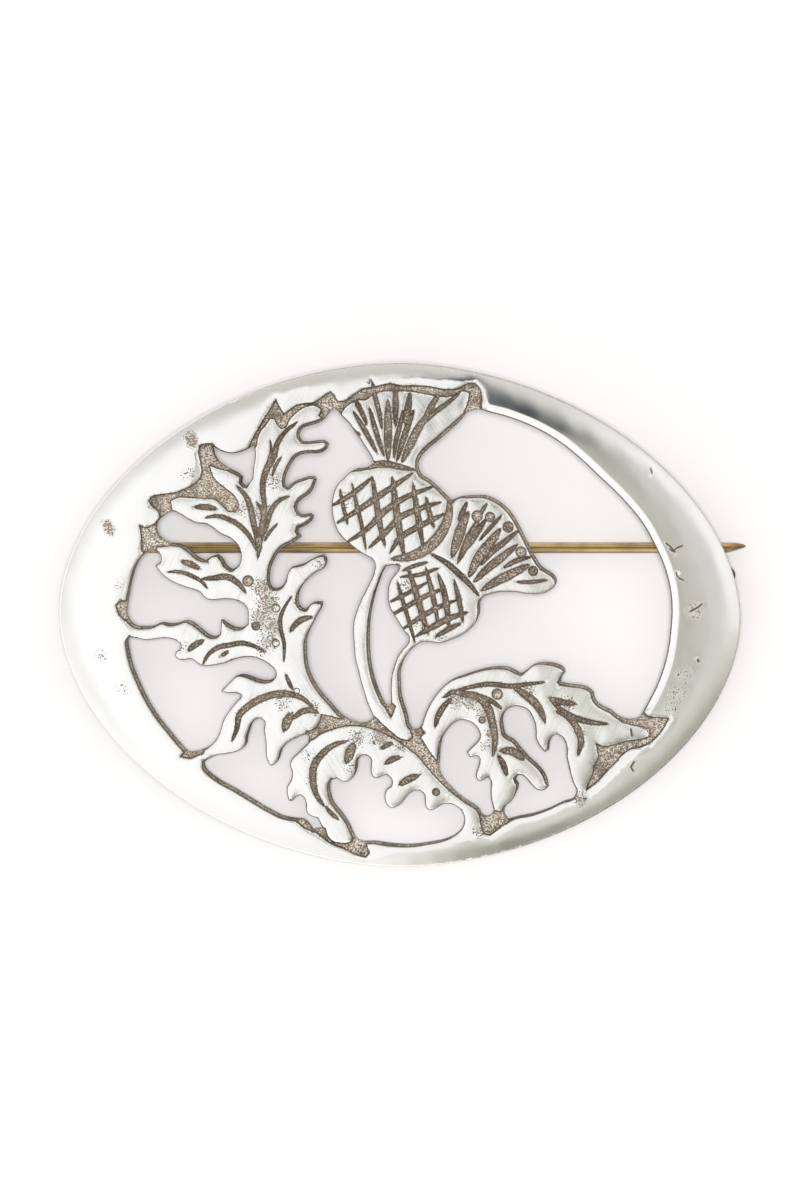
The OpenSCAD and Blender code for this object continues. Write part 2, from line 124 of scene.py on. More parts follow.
# How the brooch lies: turned about x on its lower edge, and its middle moved over the origin
LIE_TURN = math.atan2(HINGE["axis"][2], HINGE["axis"][1])
HINGE_POINT = np.array([HINGE_X, PIN_Y, -PIN_DROP])
HINGE_WORLD = np.array(HINGE["pos_m"]) / MM

# Where the camera looks: above the plate's middle, and the mean level of the face, in millimetres
VIEW_MIDDLE = 1.5
FACE_LEVEL = 2.3

# The pattern, as points of the ruled sheet, x and y in turn
# Each gap that is pierced through the plate
GAPS = {
    "above tall leaf": [213,446, 222,451, 232,453, 242,451, 254,445, 255,457, 253,469, 252,479, 246,486,
        242,482, 243,476, 238,472, 230,468, 222,463, 216,456],
    "left of tall leaf": [171,511, 180,514, 188,519, 197,523, 206,524, 213,528, 221,534, 230,538,
        236,543, 240,550, 241,559, 238,566, 232,569, 227,565, 223,558, 218,554, 212,556, 206,560, 199,557,
        191,550, 182,544, 170,542, 162,538, 157,530, 158,521, 164,515],
    "between left leaves": [150,549, 159,553, 161,558, 160,562, 155,565, 159,571, 165,577, 175,583,
        185,587, 195,590, 200,592, 203,596, 207,599, 215,600, 225,599, 235,600, 242,603, 247,608, 248,616,
        248,624, 243,627, 237,627, 230,624, 223,619, 221,620, 221,628, 220,634, 216,636, 211,635, 204,630,
        198,625, 192,621, 186,620, 180,622, 172,623, 162,622, 155,625, 145,626, 136,625, 130,620, 127,613,
        128,602, 130,590, 133,576, 136,566, 141,557],
    "below left leaf": [129,637, 136,638, 145,640, 155,639, 166,638, 175,640, 181,645, 180,649, 176,652,
        175,656, 178,659, 184,660, 191,659, 196,662, 200,665, 206,666, 215,665, 225,663, 235,659, 245,657,
        253,657, 262,660, 270,665, 275,670, 276,675, 273,679, 268,680, 260,679, 252,676, 245,674, 238,675,
        232,680, 227,685, 221,691, 227,693, 235,693, 240,694, 241,697, 237,701, 232,707, 227,714, 223,721,
        221,728, 218,736, 213,743, 208,747, 200,750, 188,751, 183,746, 176,738, 168,728, 160,718, 152,706,
        145,693, 139,680, 134,668, 131,658, 129,648, 128,641],
    "round small lower leaf": [204,762, 210,758, 217,755, 225,754, 235,752, 243,748, 247,743, 248,737,
        250,730, 252,724, 256,719, 261,718, 265,722, 264,730, 265,737, 266,746, 266,754, 268,762, 271,766,
        276,763, 280,757, 282,750, 285,745, 290,741, 296,738, 302,735, 307,734, 309,738, 308,743, 303,748,
        297,754, 292,759, 290,765, 292,771, 292,777, 290,782, 287,787, 287,794, 289,801, 292,801, 296,797,
        300,795, 304,798, 306,804, 306,810, 309,815, 313,817, 318,819, 320,823, 322,828, 313,829, 309,823,
        304,819, 296,818, 285,816, 270,809, 250,797, 235,788, 222,781, 212,774, 206,768],
    "under curled leaf": [337,778, 331,780, 330,786, 331,793, 333,800, 337,806, 342,812, 347,819,
        351,826, 354,833, 358,839, 365,841, 375,841, 390,843, 402,844, 415,844, 430,842, 445,839, 453,836,
        460,831, 464,824, 464,816, 461,810, 456,806, 450,804, 444,804, 438,807, 433,810, 429,810, 426,807,
        425,800, 424,794, 420,791, 414,791, 409,794, 405,799, 401,804, 396,807, 391,808, 387,805, 385,800,
        385,793, 387,789, 391,786, 392,781, 390,777, 386,775, 382,776, 377,778, 373,777, 371,772, 371,765,
        371,759, 368,756, 363,755, 359,758, 358,764, 357,770, 354,776, 350,780, 345,782, 341,781],
    "between tall leaf and stalk": [334,407, 338,411, 343,417, 350,424, 355,432, 361,440, 366,448,
        371,456, 374,463, 367,467, 358,468, 350,472, 344,478, 338,484, 334,492, 332,502, 332,512, 334,522,
        338,532, 345,540, 352,546, 360,552, 367,556, 373,560, 375,565, 374,572, 371,580, 366,590, 361,600,
        357,610, 354,620, 353,632, 354,645, 355,658, 358,670, 361,682, 364,692, 367,702, 371,711, 374,718,
        367,722, 358,722, 350,719, 343,715, 337,709, 331,702, 323,693, 316,683, 311,673, 308,662, 307,650,
        307,640, 310,630, 315,620, 319,612, 323,605, 323,601, 314,602, 309,606, 306,609, 302,607, 299,602,
        299,595, 301,588, 305,582, 311,576, 318,571, 324,568, 327,563, 327,557, 324,554, 318,556, 312,559,
        305,563, 298,565, 292,567, 288,573, 286,580, 282,586, 276,588, 272,586, 270,581, 270,574, 271,567,
        274,560, 278,553, 284,547, 292,543, 298,539, 302,536, 298,532, 299,528, 304,526, 309,523, 313,519,
        314,515, 311,513, 306,514, 300,513, 297,508, 298,503, 303,498, 309,494, 313,489, 315,484, 317,479,
        315,476, 309,476, 303,478, 297,480, 292,483, 288,487, 285,485, 285,479, 287,472, 291,464, 296,457,
        302,454, 310,453, 318,453, 324,451, 328,447, 329,443, 325,440, 318,440, 310,441, 303,441, 300,437,
        300,431, 304,427, 310,425, 317,423, 323,420, 328,414],
    "between the stalks": [386,566, 392,565, 398,565, 399,568, 396,573, 392,578, 389,584, 388,591,
        388,600, 390,608, 394,615, 399,623, 404,631, 409,638, 408,643, 402,650, 398,656, 395,664, 392,674,
        391,684, 391,694, 391,703, 389,707, 385,702, 380,692, 376,681, 373,670, 371,658, 370,645, 370,630,
        371,616, 373,604, 376,592, 380,580, 383,572],
    "right of the flowers": [469,411, 478,409, 490,412, 502,415, 520,421, 540,430, 560,442, 580,458,
        600,477, 615,491, 630,507, 644,525, 655,545, 662,560, 668,578, 671,594, 672,610, 671,628, 669,645,
        666,660, 662,673, 657,686, 651,698, 645,709, 640,717, 632,719, 625,718, 618,715, 612,710, 604,706,
        598,702, 595,697, 594,692, 590,688, 583,685, 575,684, 567,683, 561,682, 562,677, 566,671, 564,667,
        559,664, 550,662, 541,662, 533,665, 527,670, 521,673, 516,670, 510,667, 500,666, 490,667, 478,670,
        466,674, 455,678, 446,684, 439,691, 433,699, 428,708, 424,718, 421,726, 417,729, 413,729, 410,724,
        408,715, 405,705, 402,695, 401,682, 401,670, 404,660, 409,652, 415,646, 422,642, 431,642, 441,643,
        450,640, 460,636, 469,630, 476,622, 480,612, 481,600, 483,597, 490,594, 500,592, 515,592, 530,594,
        541,594, 549,591, 555,586, 557,580, 554,574, 548,570, 542,566, 537,559, 532,550, 527,540, 521,528,
        515,517, 508,508, 498,500, 486,495, 473,495, 462,496, 452,500, 445,493, 438,486, 430,479, 422,474,
        419,468, 419,461, 423,454, 430,447, 440,439, 450,430, 460,421],
    "in right leaf": [460,720, 468,721, 475,725, 479,731, 480,737, 477,742, 472,747, 467,752, 470,757,
        477,756, 480,759, 479,765, 477,771, 476,777, 479,781, 484,780, 488,777, 491,781, 491,788, 491,797,
        493,806, 494,811, 491,815, 486,816, 482,813, 480,809, 474,804, 466,799, 458,793, 450,785, 444,778,
        440,770, 440,758, 441,746, 443,737, 448,729, 454,723],
    "below right leaf": [515,706, 522,707, 528,710, 532,716, 535,724, 536,731, 536,738, 540,746,
        545,752, 549,750, 550,743, 552,737, 556,734, 561,736, 565,741, 567,749, 567,757, 569,766, 571,775,
        574,784, 577,791, 575,797, 565,801, 550,808, 535,813, 520,816, 509,819, 505,814, 506,806, 511,802,
        515,796, 518,789, 519,784, 516,779, 518,775, 522,775, 527,779, 532,785, 538,790, 545,790, 549,786,
        548,780, 544,771, 538,764, 530,757, 522,748, 514,739, 506,734, 504,727, 503,719, 505,712, 509,708]}

GROUNDS = {
    "beside tall leaf": [199,445, 206,443, 212,443, 220,454, 227,460, 236,466, 233,472, 222,470,
        210,466, 212,474, 218,482, 227,489, 235,496, 239,505, 236,512, 229,512, 222,506, 215,500, 205,499,
        190,498, 177,498, 171,501, 172,508, 173,517, 165,523, 159,516, 158,512, 152,507, 148,501, 152,496,
        161,494, 175,492, 188,487, 197,481, 201,474, 200,462, 198,453],
    "left edge": [139,525, 146,527, 154,524, 163,526, 165,533, 177,539, 170,546, 158,547, 154,555,
        147,556, 141,551, 141,540],
    "left corner": [115,605, 121,600, 134,603, 134,615, 124,621, 118,614],
    "over tall leaf and large flower": [249,445, 253,437, 258,428, 264,418, 269,410, 273,403, 276,399,
        280,407, 284,413, 290,409, 296,405, 304,403, 313,402, 320,398, 327,393, 331,391, 335,396, 338,401,
        345,400, 351,396, 357,392, 363,388, 371,387, 380,385, 390,383, 400,385, 415,385, 430,386, 440,388,
        450,389, 460,387, 468,383, 475,383, 480,388, 482,396, 481,405, 483,416, 472,417, 463,413, 468,401,
        469,393, 464,391, 455,395, 446,397, 436,396, 425,394, 414,392, 402,391, 390,391, 380,392, 373,395,
        366,400, 358,400, 350,404, 343,411, 340,420, 330,421, 318,416, 321,410, 316,406, 308,406, 300,410,
        294,415, 289,421, 286,427, 281,429, 277,425, 274,419, 270,419, 266,425, 261,431, 258,438, 256,447,
        250,453, 246,453],
    "under right leaf": [596,743, 604,746, 612,745, 625,741, 640,739, 650,736, 649,729, 640,727,
        630,725, 621,722, 624,712, 640,709, 648,716, 660,717, 669,718, 666,725, 661,733, 652,742, 640,748,
        630,750, 622,756, 616,763, 608,771, 600,780, 593,786, 586,791, 588,783, 592,775, 594,765, 598,757,
        597,750],
    "round curled leaf and below right leaf": [313,740, 303,741, 306,731, 313,729, 319,722, 321,714,
        332,716, 343,718, 352,714, 366,712, 377,718, 383,724, 391,731, 400,738, 408,740, 412,737, 410,731,
        417,719, 425,733, 421,737, 426,745, 431,753, 436,759, 447,765, 451,776, 459,785, 470,794, 481,803,
        489,810, 499,811, 513,813, 510,822, 503,826, 497,831, 490,836, 483,834, 480,822, 479,811, 470,805,
        458,798, 447,789, 437,779, 427,768, 416,755, 404,746, 392,738, 380,732, 368,728, 355,726, 343,727,
        332,730, 320,735],
    "at curled leaf tip": [296,822, 301,813, 307,817.5, 313,822.5, 316,824, 325,828, 328,836, 333,841,
        342,843, 350,842, 353,838, 360,833, 369,835, 367,845, 370,853, 366,858, 355,855, 343,849, 332,845,
        322,838, 314,832, 305,829],
    "lower left foot": [180,757, 183,753, 190,745, 206,742, 204,753, 198,756, 190,759],
    "beside stalk foot": [376,687, 385,690, 388,698, 396,706, 393,714, 391,718, 387,712, 381,700]}

# The graver's cuts: width, then the line
CUTS = [
    # leaves
    [6, 297,422, 285,432, 277,444, 274,456, 267,469, 263,482, 263,495, 265,508, 263,524],
    [6, 257,503, 263,512, 262,528, 260,542, 258,558], [3, 270,439, 271,450, 268,462, 262,473],
    [3, 282,456, 276,465, 272,477], [6, 237,486, 245,495, 250,506, 253,520, 256,534, 258,550],
    [5, 290,496, 280,500, 272,509, 268,521, 265,534], [3, 278,523, 270,532, 264,542],
    [5, 205,518, 215,516, 228,519, 240,526, 250,537, 257,551], [6, 194,507, 205,507, 217,509],
    [6, 181,561, 190,564, 200,569], [4, 167,572, 180,572, 192,576, 202,582, 208,589],
    [6, 202,579, 214,578, 228,577, 238,583, 246,593],
    [4, 292,596, 286,605, 281,616, 281,630, 284,642, 284,662], [6, 313,617, 303,619, 295,625, 290,632],
    [4, 286,674, 289,682, 293,690], [5, 203,664, 208,655, 217,648, 230,645, 242,643, 254,646, 266,652],
    [4, 221,656, 229,651], [6, 188,651, 195,645, 204,640],
    [7, 232,741, 237,728, 239,716, 250,705, 263,698, 277,694, 290,694, 302,698, 313,707],
    [6, 319,713, 310,710, 301,712, 293,719], [9, 292,713, 287,722, 284,731],
    [7, 347,741, 334,745, 322,754, 314,766, 313,780, 316,794, 324,806], [4, 325,806, 332,814, 339,820],
    [9, 354,743, 350,753, 346,763], [5, 393,743, 387,745, 381,749], [6, 401,757, 393,759, 385,764],
    [7, 419,775, 409,779, 399,785], [6, 435,727, 438,716, 444,706, 452,698],
    [8, 444,697, 453,692, 464,694, 478,697, 488,708, 492,722, 495,738, 493,756],
    [5, 470,694, 482,697, 493,702, 502,709], [5, 452,692, 470,687, 490,684, 510,686, 528,684, 545,682],
    [8, 500,751, 511,751, 524,760], [6, 498,755, 503,764, 507,776],
    [8, 513,687, 524,694, 535,703, 541,712, 545,722], [6, 549,698, 562,702, 576,704],
    [6, 550,699, 560,709, 573,717, 590,722, 608,724], [7, 556,711, 568,717, 577,728, 581,741, 578,755],
    # petals of the large flower
    [5, 353,395, 358,405, 363,415, 367,425], [5, 353,411, 361,424, 369,438, 377,453],
    [5, 372,381, 375,396, 379,412, 382,429], [5, 369,407, 373,421, 378,438, 384,456],
    [8, 388,400, 388,420, 388,440, 388,460], [6, 395.5,385, 395.5,405, 395.5,426],
    [7, 410,393, 408,408, 405,424], [5, 403,410, 400,425, 396,441, 394,458],
    [6, 414,410, 409,423, 403,440, 397,461], [6, 440,392, 432,405, 425,417],
    [8, 430,411, 418,429, 410,445, 402,462], [5, 460,393, 446,404, 434,413, 424,424],
    [4, 351,427, 355,432, 361,435],
    # petals of the small flower
    [5, 467,502, 462,513, 458,521], [10, 468,512, 462,526, 457,541, 452,557],
    [4, 487,503, 482,511, 478,520], [7, 479,519, 470,535, 464,549, 458,562], [6, 486,519, 476,534, 468,548],
    [4, 502,515, 491,527, 479,541], [10, 500,529, 490,543, 479,557, 469,577],
    [6, 518,531, 503,543, 491,553, 481,565], [8, 517,545, 501,558, 487,569, 474,582],
    [5, 531,557, 518,560, 503,568], [9, 529,565, 511,574, 497,581, 482,590], [4, 516,582, 531,582, 548,580],
    # cross cuts of the large flower head
    [5, 332,506, 352,494, 373,477], [6, 337,523, 360,509, 382,494, 413,473],
    [6, 346,543, 367,529, 384,512, 401,500, 434,486], [6, 369,548, 386,532, 401,517, 419,509, 441,502],
    [6, 390,553, 400,538, 416,528, 430,521, 444,514], [4, 340,489, 343,505, 348,525],
    [4, 352,483, 356,502, 361,522, 366,550], [6, 372,477, 376,500, 380,525, 385,546],
    [7, 392,477, 395,500, 399,528, 404,556], [6, 413,484, 416,505, 420,529, 423,547],
    [5, 426,497, 429,512, 434,528], [11, 392,559, 412,556, 430,546, 443,530, 449,513, 449,500],
    # cross cuts of the small flower head
    [4, 402,571, 414,566, 428,562], [4, 400,577, 418,575, 439,568], [4, 390,602, 408,593, 428,582],
    [5, 392,615, 411,604, 430,594, 445,588], [5, 403,629, 421,617, 441,606, 457,600],
    [6, 416,636, 434,626, 450,618, 468,612], [5, 435,637, 449,629, 461,623],
    [4, 397,580, 402,598, 408,618, 415,643], [6, 408,568, 414,586, 419,604, 428,634],
    [5, 426,568, 431,588, 435,606, 438,624], [6, 438,574, 444,592, 447,610, 449,628],
    [5, 454,580, 458,596, 463,622],
    # the collars between heads and petals
    [7, 350,471, 366,467, 384,464, 400,467, 414,470], [6, 431,554, 445,562, 458,573, 469,584, 479,596]]

# The punch marks: x, y and their width
PUNCHES = [
    [248, 581, 11], [276, 608, 10], [256, 626, 9], [276, 643, 9], [297, 691, 7], [436, 792, 8],
    [497, 694, 11], [482, 720, 7], [477, 516, 11], [490, 517, 10], [508, 527, 11], [521, 552, 11],
    [533, 571, 10]]

# Which of the punch marks are only a struck ring, by their place in the list above
STRUCK_RINGS = (1, 3, 4)

# Scratches and nicks in the frame: width, then its line
NICKS = [
    [1.6, 666,543, 672,548, 675,552], [1.5, 682,546, 677,548, 673,551, 670,549],
    [1.5, 676,572, 678,577, 683,580], [1.5, 702,604, 697,608, 691,611], [2.0, 631,729, 632,736],
    [1.6, 634,762, 631,767, 633,771], [1.4, 651,469, 652,472], [2.2, 698,660, 698.6,661.6]]

# Patches where the casting is pitted: x, y, radius, and how densely
PITTED = [
    [241, 509, 9, 0.7], [274, 481, 11, 0.6], [262, 512, 12, 0.8], [262, 530, 9, 0.8], [262, 588, 13, 0.9],
    [268, 603, 14, 1.0], [262, 618, 13, 1.0], [271, 625, 12, 1.0], [269, 640, 11, 0.9], [262, 648, 9, 0.7],
    [184, 647, 7, 0.5], [283, 700, 12, 0.6], [312, 708, 9, 0.7], [308, 755, 8, 0.6], [310, 780, 7, 0.5],
    [357, 738, 10, 0.9], [380, 737, 12, 1.0], [400, 747, 8, 0.8], [352, 769, 8, 0.6], [455, 700, 10, 0.9],
    [470, 702, 10, 1.0], [482, 714, 8, 0.8], [490, 733, 7, 1.0], [485, 746, 6, 0.8], [528, 689, 9, 0.8],
    [566, 704, 10, 0.7], [580, 733, 7, 0.7], [648, 725, 9, 1.0], [188, 474, 9, 0.45], [101, 656, 9, 0.2],
    [123, 689, 9, 0.25], [118, 583, 8, 0.2], [694, 611, 10, 0.4], [684, 676, 10, 0.3], [678, 694, 11, 0.3],
    [672, 707, 10, 0.25], [580, 798, 8, 0.8], [479, 831, 8, 0.7], [190, 437, 7, 1.5], [193, 443, 6, 1.5],
    [110, 530, 6, 1.5], [107, 525, 5, 1.5], [319, 564, 7, 0.6], [345, 500, 9, 0.5], [420, 625, 8, 0.6],
    [440, 637, 8, 0.6], [405, 585, 7, 0.6], [300, 600, 9, 0.4]]

# Where the plain polished frame ends and the filed leaves and flowers begin
FRAME_INNER = [
    345,398, 400,383, 475,383, 490,410, 560,440, 620,490, 660,560, 672,620, 662,680, 648,716, 650,738,
    620,768, 588,795, 520,815, 480,835, 455,839, 400,848, 366,857, 345,852, 320,843, 300,828, 240,790,
    205,755, 165,700, 125,625, 118,600, 140,545, 148,500, 190,487, 197,450, 250,440, 270,405, 330,392]

# The inner edge of the frame is bevelled beside the large gap: from, to (anticlockwise), and in millimetres
BEVEL_GAP = "right of the flowers"
BEVEL_SPAN = [645,715, 480,408]
BEVEL_DEEP = 0.28
BEVEL_WIDE = 0.52
BEVEL_ROUND = 0.05

# Where a gap's wall slants more than its side would make it: gap, from, to (anticlockwise), width
SLANTS = [
    ["right of the flowers", [469,411, 420,470], 0.38],
    ["between tall leaf and stalk", [334,407, 286,580], 0.3]]

# How finely the relief is drawn, in millimetres: steps along its lines, and rows of points beside them
OVAL_SIDES = 520
SPAN_EASE = 6
GAP_STEP = 0.22
GROUND_STEP = 0.22
CUT_STEP = 0.25
NICK_STEP = 0.15
LEAFY_STEP = 1.0
GRID_STEP = 0.45
GRID_ROW = GRID_STEP * 0.87
BACK_STEP = 0.9
BACK_ROW = 0.78
BACK_CELL = 0.2
THIN_CELL = 0.06
GAP_CLEAR = 0.045
BACK_CLEAR = 0.25
BACK_RIM = 0.3
RIM_CLEAR = 0.22
SHARP_TURN = 50
CREASE_ROW = 0.09
RIM_ROWS = (0.03, 0.08, 0.15)
FRAME_ROWS = (0.25, 0.4, 0.7, 1.0, 1.4, 1.9, 2.5, 3.2)
BEVEL_ROWS = [0, 0.07, BEVEL_WIDE / 2] + [BEVEL_WIDE + CREASE_ROW * k for k in (-1, 0, 1, 2.2, 3.8)]
GAP_ROWS = ((1, 0), (0.5, 0), (1, 0.07), (1, 0.2), (1, 0.45))
CUT_ROWS = ((1, 0), (0.62, 0), (1, 0.04), (1, 0.16))
GROUND_ROWS = (0, 0.14, 0.05, -0.05, 0.3, -0.22)
PUNCH_ROWS = (1, 0.8, 0.6, 0.35, 1.15)
NICK_ROWS = (0, 1, -1, 2, -2)

# The relief's edges, in millimetres; the gaps' walls lean out most where they face the lower left
WALL_FACING = np.array([-0.7071, -0.7071])
WALL_NARROW = 0.07
WALL_WIDE = 0.40
WALL_TURN = (0.12, 0.95)
WALL_DROP = 1.0
WALL_ROUND = 0.05
PILLOW = 0.05
PILLOW_REACH = 0.3
EDGE_ROLL = 0.08
EDGE_FALL = 0.1
# how dark the painted shade on the rim's outer edge is
RIM_SHADE = 0.25
SHOULDER = 3.2
SHOULDER_FALL = 0.13
LEAF_SWELL = 0.07
LEAF_REACH = 1.3
NICK_DEPTH = 0.05
NICK_COAT = 0.45
NICK_EDGE = (0.3, 1.9)
PIT_EDGE = (0.35, 1.15)
CUT_ROUND = 0.032
CUT_ROUND_REACH = 0.13
GROUND_WALL = (-0.03, 0.2)
FILED_FROM = (-0.2, 0.6)
STAIN_REACH = 0.2
# oxide by the distance in from an edge, with a line of painted shade along the edge itself
EDGE_SHADE_AT = (-0.04, 0.0, 0.05, 0.14)
EDGE_OXIDE_AND_SHADE = (0.0, 0.32, 0.6, 1.0)
# a struck ring: where it is and how wide, as shares of its radius, and how deep and how dark
RING_AT = 0.82
RING_HALF = 0.22
RING_DEPTH = 0.35
RING_COAT = 0.34
# painted shade on the rim's outer edge fades towards the lit lower left: the way there, and from where to
# where along it
RIM_LIT_WAY = np.array([-1.0, -0.6])
RIM_LIT_SPAN = (-4, 12)
WORKED_FRAME = 0.011
WORKED_LEAF = 0.09
# waves of the hand work: length in millimetres, direction in degrees, start
WORK_WAVES = [(2.3, 20, 0.4), (2.9, 75, 1.9), (3.4, 130, 3.1), (4.6, 165, 0.8), (5.9, 40, 5.0)]

# How far from an edge the relief still feels it, and the distance that counts as away from every edge
EDGE_REACH = 2.2
FAR_AWAY = 9.0

# How many points are measured against a line at a time, to save memory
BATCH = 4000

# What the walls of the gaps and the hollow back have of each layer that the silver reads
UNSEEN = {"oxide_and_shade": (0.62, 0.13), "pitted": (0.0, 0.3), "stain": (1.0, 0.6), "filed": (0.5, 0.5)}

# The room that the polish mirrors: colours overhead from left to right, and round about at three distances,
# by the share of a full turn from the left
OVERHEAD = {
    0.05: "#fefefd", 0.2: "#f8f7f5", 0.35: "#f4f3f1", 0.5: "#f0eeea", 0.58: "#f3f2ef", 0.66: "#fbfaf8",
    0.7: "#edebe7", 0.74: "#d9d7cf", 0.8: "#c4c2b8", 0.87: "#adaba0", 0.9: "#b1b0a6", 0.93: "#c6c4bd",
    0.96: "#cbc9c4"}
WALLS = {
    0.0: "#f6f4f1", 0.07: "#ecebe6", 0.13: "#fdfcfb", 0.21: "#f9f8f5", 0.25: "#e3e1db", 0.275: "#cac8bf",
    0.3: "#d0cec5", 0.335: "#dedcd4", 0.37: "#c5c3b9", 0.43: "#c1bfb5", 0.465: "#cfcdc5", 0.5: "#f0eee9",
    0.57: "#fdfcfa", 0.63: "#fdfcfa", 0.67: "#e3e1dd", 0.705: "#cac8c3", 0.73: "#c0beb6", 0.775: "#b8b6af",
    0.83: "#cbc9c3", 0.875: "#dfdeda", 0.93: "#f5f4f0", 1.0: "#f6f4f1"}
DOORS = {
    0.0: "#e4e3de", 0.06: "#fcfbf9", 0.2: "#f6f5f2", 0.25: "#efede7", 0.272: "#a9a89d", 0.297: "#8c8b81",
    0.331: "#a2a197", 0.372: "#9b9a8e", 0.428: "#a4a399", 0.465: "#c6c4bb", 0.5: "#ecebe6", 0.57: "#efeeea",
    0.63: "#d9d8d3", 0.7: "#d7d5cf", 0.8: "#cbc9c2", 0.83: "#c3c2bb", 0.875: "#d8d7d3", 0.93: "#dcdbd6",
    1.0: "#e4e3de"}
FAR_WALLS = {
    0.0: "#fbfaf8", 0.25: "#f4f3ef", 0.29: "#b5b4ac", 0.33: "#85847d", 0.42: "#8d8c85", 0.5: "#e0dfda",
    0.6: "#ecebe8", 0.67: "#c8c7c2", 0.76: "#dcdad5", 0.9: "#e6e4e1", 1.0: "#fbfaf8"}


# Curves on the plate
def on_plate(points):
    """Points of the ruled sheet, x and y in turn, as millimetres from the plate's middle."""
    return (np.reshape(points, (-1, 2)) - SHEET_MIDDLE) * (SHEET_RULE, -SHEET_RULE)


def smooth_line(points, step, closed=True):
    """A smooth curve through the points, with a point about every step; sharp turns stay sharp."""
    p = np.asarray(points, float)
    ahead = np.roll(p, -1, 0) - p
    length = np.linalg.norm(ahead, axis=1)
    way = ahead / np.maximum(length, 1e-9)[:, None]
    way_in, length_in = np.roll(way, 1, 0), np.roll(length, 1)
    tangent = way * length_in[:, None] + way_in * length[:, None]
    tangent /= np.maximum(np.linalg.norm(tangent, axis=1), 1e-9)[:, None]
    sharp = ((way * way_in).sum(1) < math.cos(math.radians(SHARP_TURN)))[:, None]
    leave, arrive = np.where(sharp, way, tangent), np.where(sharp, way_in, tangent)
    if not closed:
        leave[0], arrive[-1] = way[0], way_in[-1]
    curve = []
    for i in range(len(p) if closed else len(p) - 1):
        j = (i + 1) % len(p)
        count = max(1, round(length[i] / step))
        u = np.arange(count)[:, None] / count
        curve.append((2 * u**3 - 3 * u**2 + 1) * p[i] + (u**3 - 2 * u**2 + u) * length[i] * leave[i]
                     + (3 * u**2 - 2 * u**3) * p[j] + (u**3 - u**2) * length[i] * arrive[j])
    if not closed:
        curve.append(p[-1:])
    return np.concatenate(curve)


def side_normals(line, closed=True):
    """The unit normal to the left of the line's way at each of its points."""
    way = np.roll(line, -1, 0) - np.roll(line, 1, 0) if closed else np.gradient(line, axis=0)
    way = way / np.maximum(np.linalg.norm(way, axis=1), 1e-9)[:, None]
    return np.stack([-way[:, 1], way[:, 0]], 1)


def outline(points, step):
    """A smooth closed line through points of the sheet, anticlockwise, so that its normals point in."""
    loop = smooth_line(on_plate(points), step)
    x, y = loop.T
    area = (x * np.roll(y, -1) - np.roll(x, -1) * y).sum()
    return loop if area > 0 else loop[::-1]


def nearest(points, line, closed=True):
    """Each point's distance to the line, and the place along the line, counted in the line's points."""
    start = line if closed else line[:-1]
    step = (np.roll(line, -1, 0) if closed else line[1:]) - start
    square = np.maximum((step**2).sum(1), 1e-12)
    far, along = np.empty((2, len(points)))
    for a in range(0, len(points), BATCH):
        rel = points[a:a + BATCH, None] - start[None]
        u = np.clip((rel * step).sum(2) / square, 0, 1)
        d = np.linalg.norm(rel - u[:, :, None] * step, axis=2)
        k = d.argmin(1)
        row = np.arange(len(k))
        far[a:a + BATCH] = d[row, k]
        along[a:a + BATCH] = k + u[row, k]
    return far, along


def inside(points, loop):
    """Which points lie inside the loop."""
    x0, y0 = loop.T
    x1, y1 = np.roll(loop, -1, 0).T
    rise = np.where(y1 == y0, 1e-12, y1 - y0)
    found = np.zeros(len(points), bool)
    for a in range(0, len(points), BATCH):
        x, y = points[a:a + BATCH, 0, None], points[a:a + BATCH, 1, None]
        crossed = ((y0 > y) != (y1 > y)) & (x < (x1 - x0) * (y - y0) / rise + x0)
        found[a:a + BATCH] = crossed.sum(1) % 2 == 1
    return found


def depth_in(points, loop):
    """How far inside the loop each point lies; outside it is below 0."""
    far = nearest(points, loop)[0]
    return np.where(inside(points, loop), far, -far)


def close_to(points, line, margin):
    """The indices of the points within the line's box, grown by margin."""
    low, high = line.min(0) - margin, line.max(0) + margin
    return np.flatnonzero(((points > low) & (points < high)).all(1))


def clear_of(points, loops, margin):
    """Which points lie outside every loop, by more than margin."""
    clear = np.ones(len(points), bool)
    for loop in loops:
        near = close_to(points, loop, margin)
        clear[near] &= depth_in(points[near], loop) < -margin
    return clear


def ease(value, low, high):
    """0 below low, 1 above high, and a smooth rise between."""
    t = np.clip((value - low) / (high - low), 0, 1)
    return t * t * (3 - 2 * t)


def soft_ramp(value, soft):
    """0 below 0 and the value above it, with the corner between rounded."""
    return soft * np.log1p(np.exp(np.clip(value / soft, -30, 30)))


def on_span(along, loop, span):
    """1 between two marks of the sheet along a closed line, easing to 0 at both."""
    first, last = nearest(on_plate(span), loop)[1]
    past = (along - first) % len(loop)
    whole = (last - first) % len(loop)
    return ease(past, 0, SPAN_EASE) * (1 - ease(past, whole - SPAN_EASE, whole)) * (past < whole)


def width_at(wide, along):
    """The width at places along a closed line."""
    return np.interp(along, np.arange(len(wide) + 1), np.append(wide, wide[0]))


def circle(count):
    """Unit directions all the way round, anticlockwise."""
    a = np.arange(count) * 2 * math.pi / count
    return np.stack([np.cos(a), np.sin(a)], 1)


def oval(sides, inset=0.0):
    """The plate's outline, anticlockwise."""
    way = circle(sides)
    x, y = (np.sign(way) * np.abs(way) ** (2 / OVAL_POWER) * (PLATE_W / 2, PLATE_H / 2)).T
    t = math.radians(OVAL_TURN)
    line = np.stack([x * math.cos(t) - y * math.sin(t), x * math.sin(t) + y * math.cos(t)], 1)
    return line + side_normals(line) * inset


def grid(half_x, half_y, step, row):
    """Points in staggered rows over the plate."""
    x, y = np.meshgrid(np.arange(-half_x, half_x, step), np.arange(-half_y, half_y, row))
    x[1::2] += step / 2
    return np.stack([x.ravel(), y.ravel()], 1)


def dome(points):
    """The height of the plain domed face, before any relief."""
    return TOP_Z - points[:, 0] ** 2 / (2 * LONG_R) - points[:, 1] ** 2 / (2 * SHORT_R)


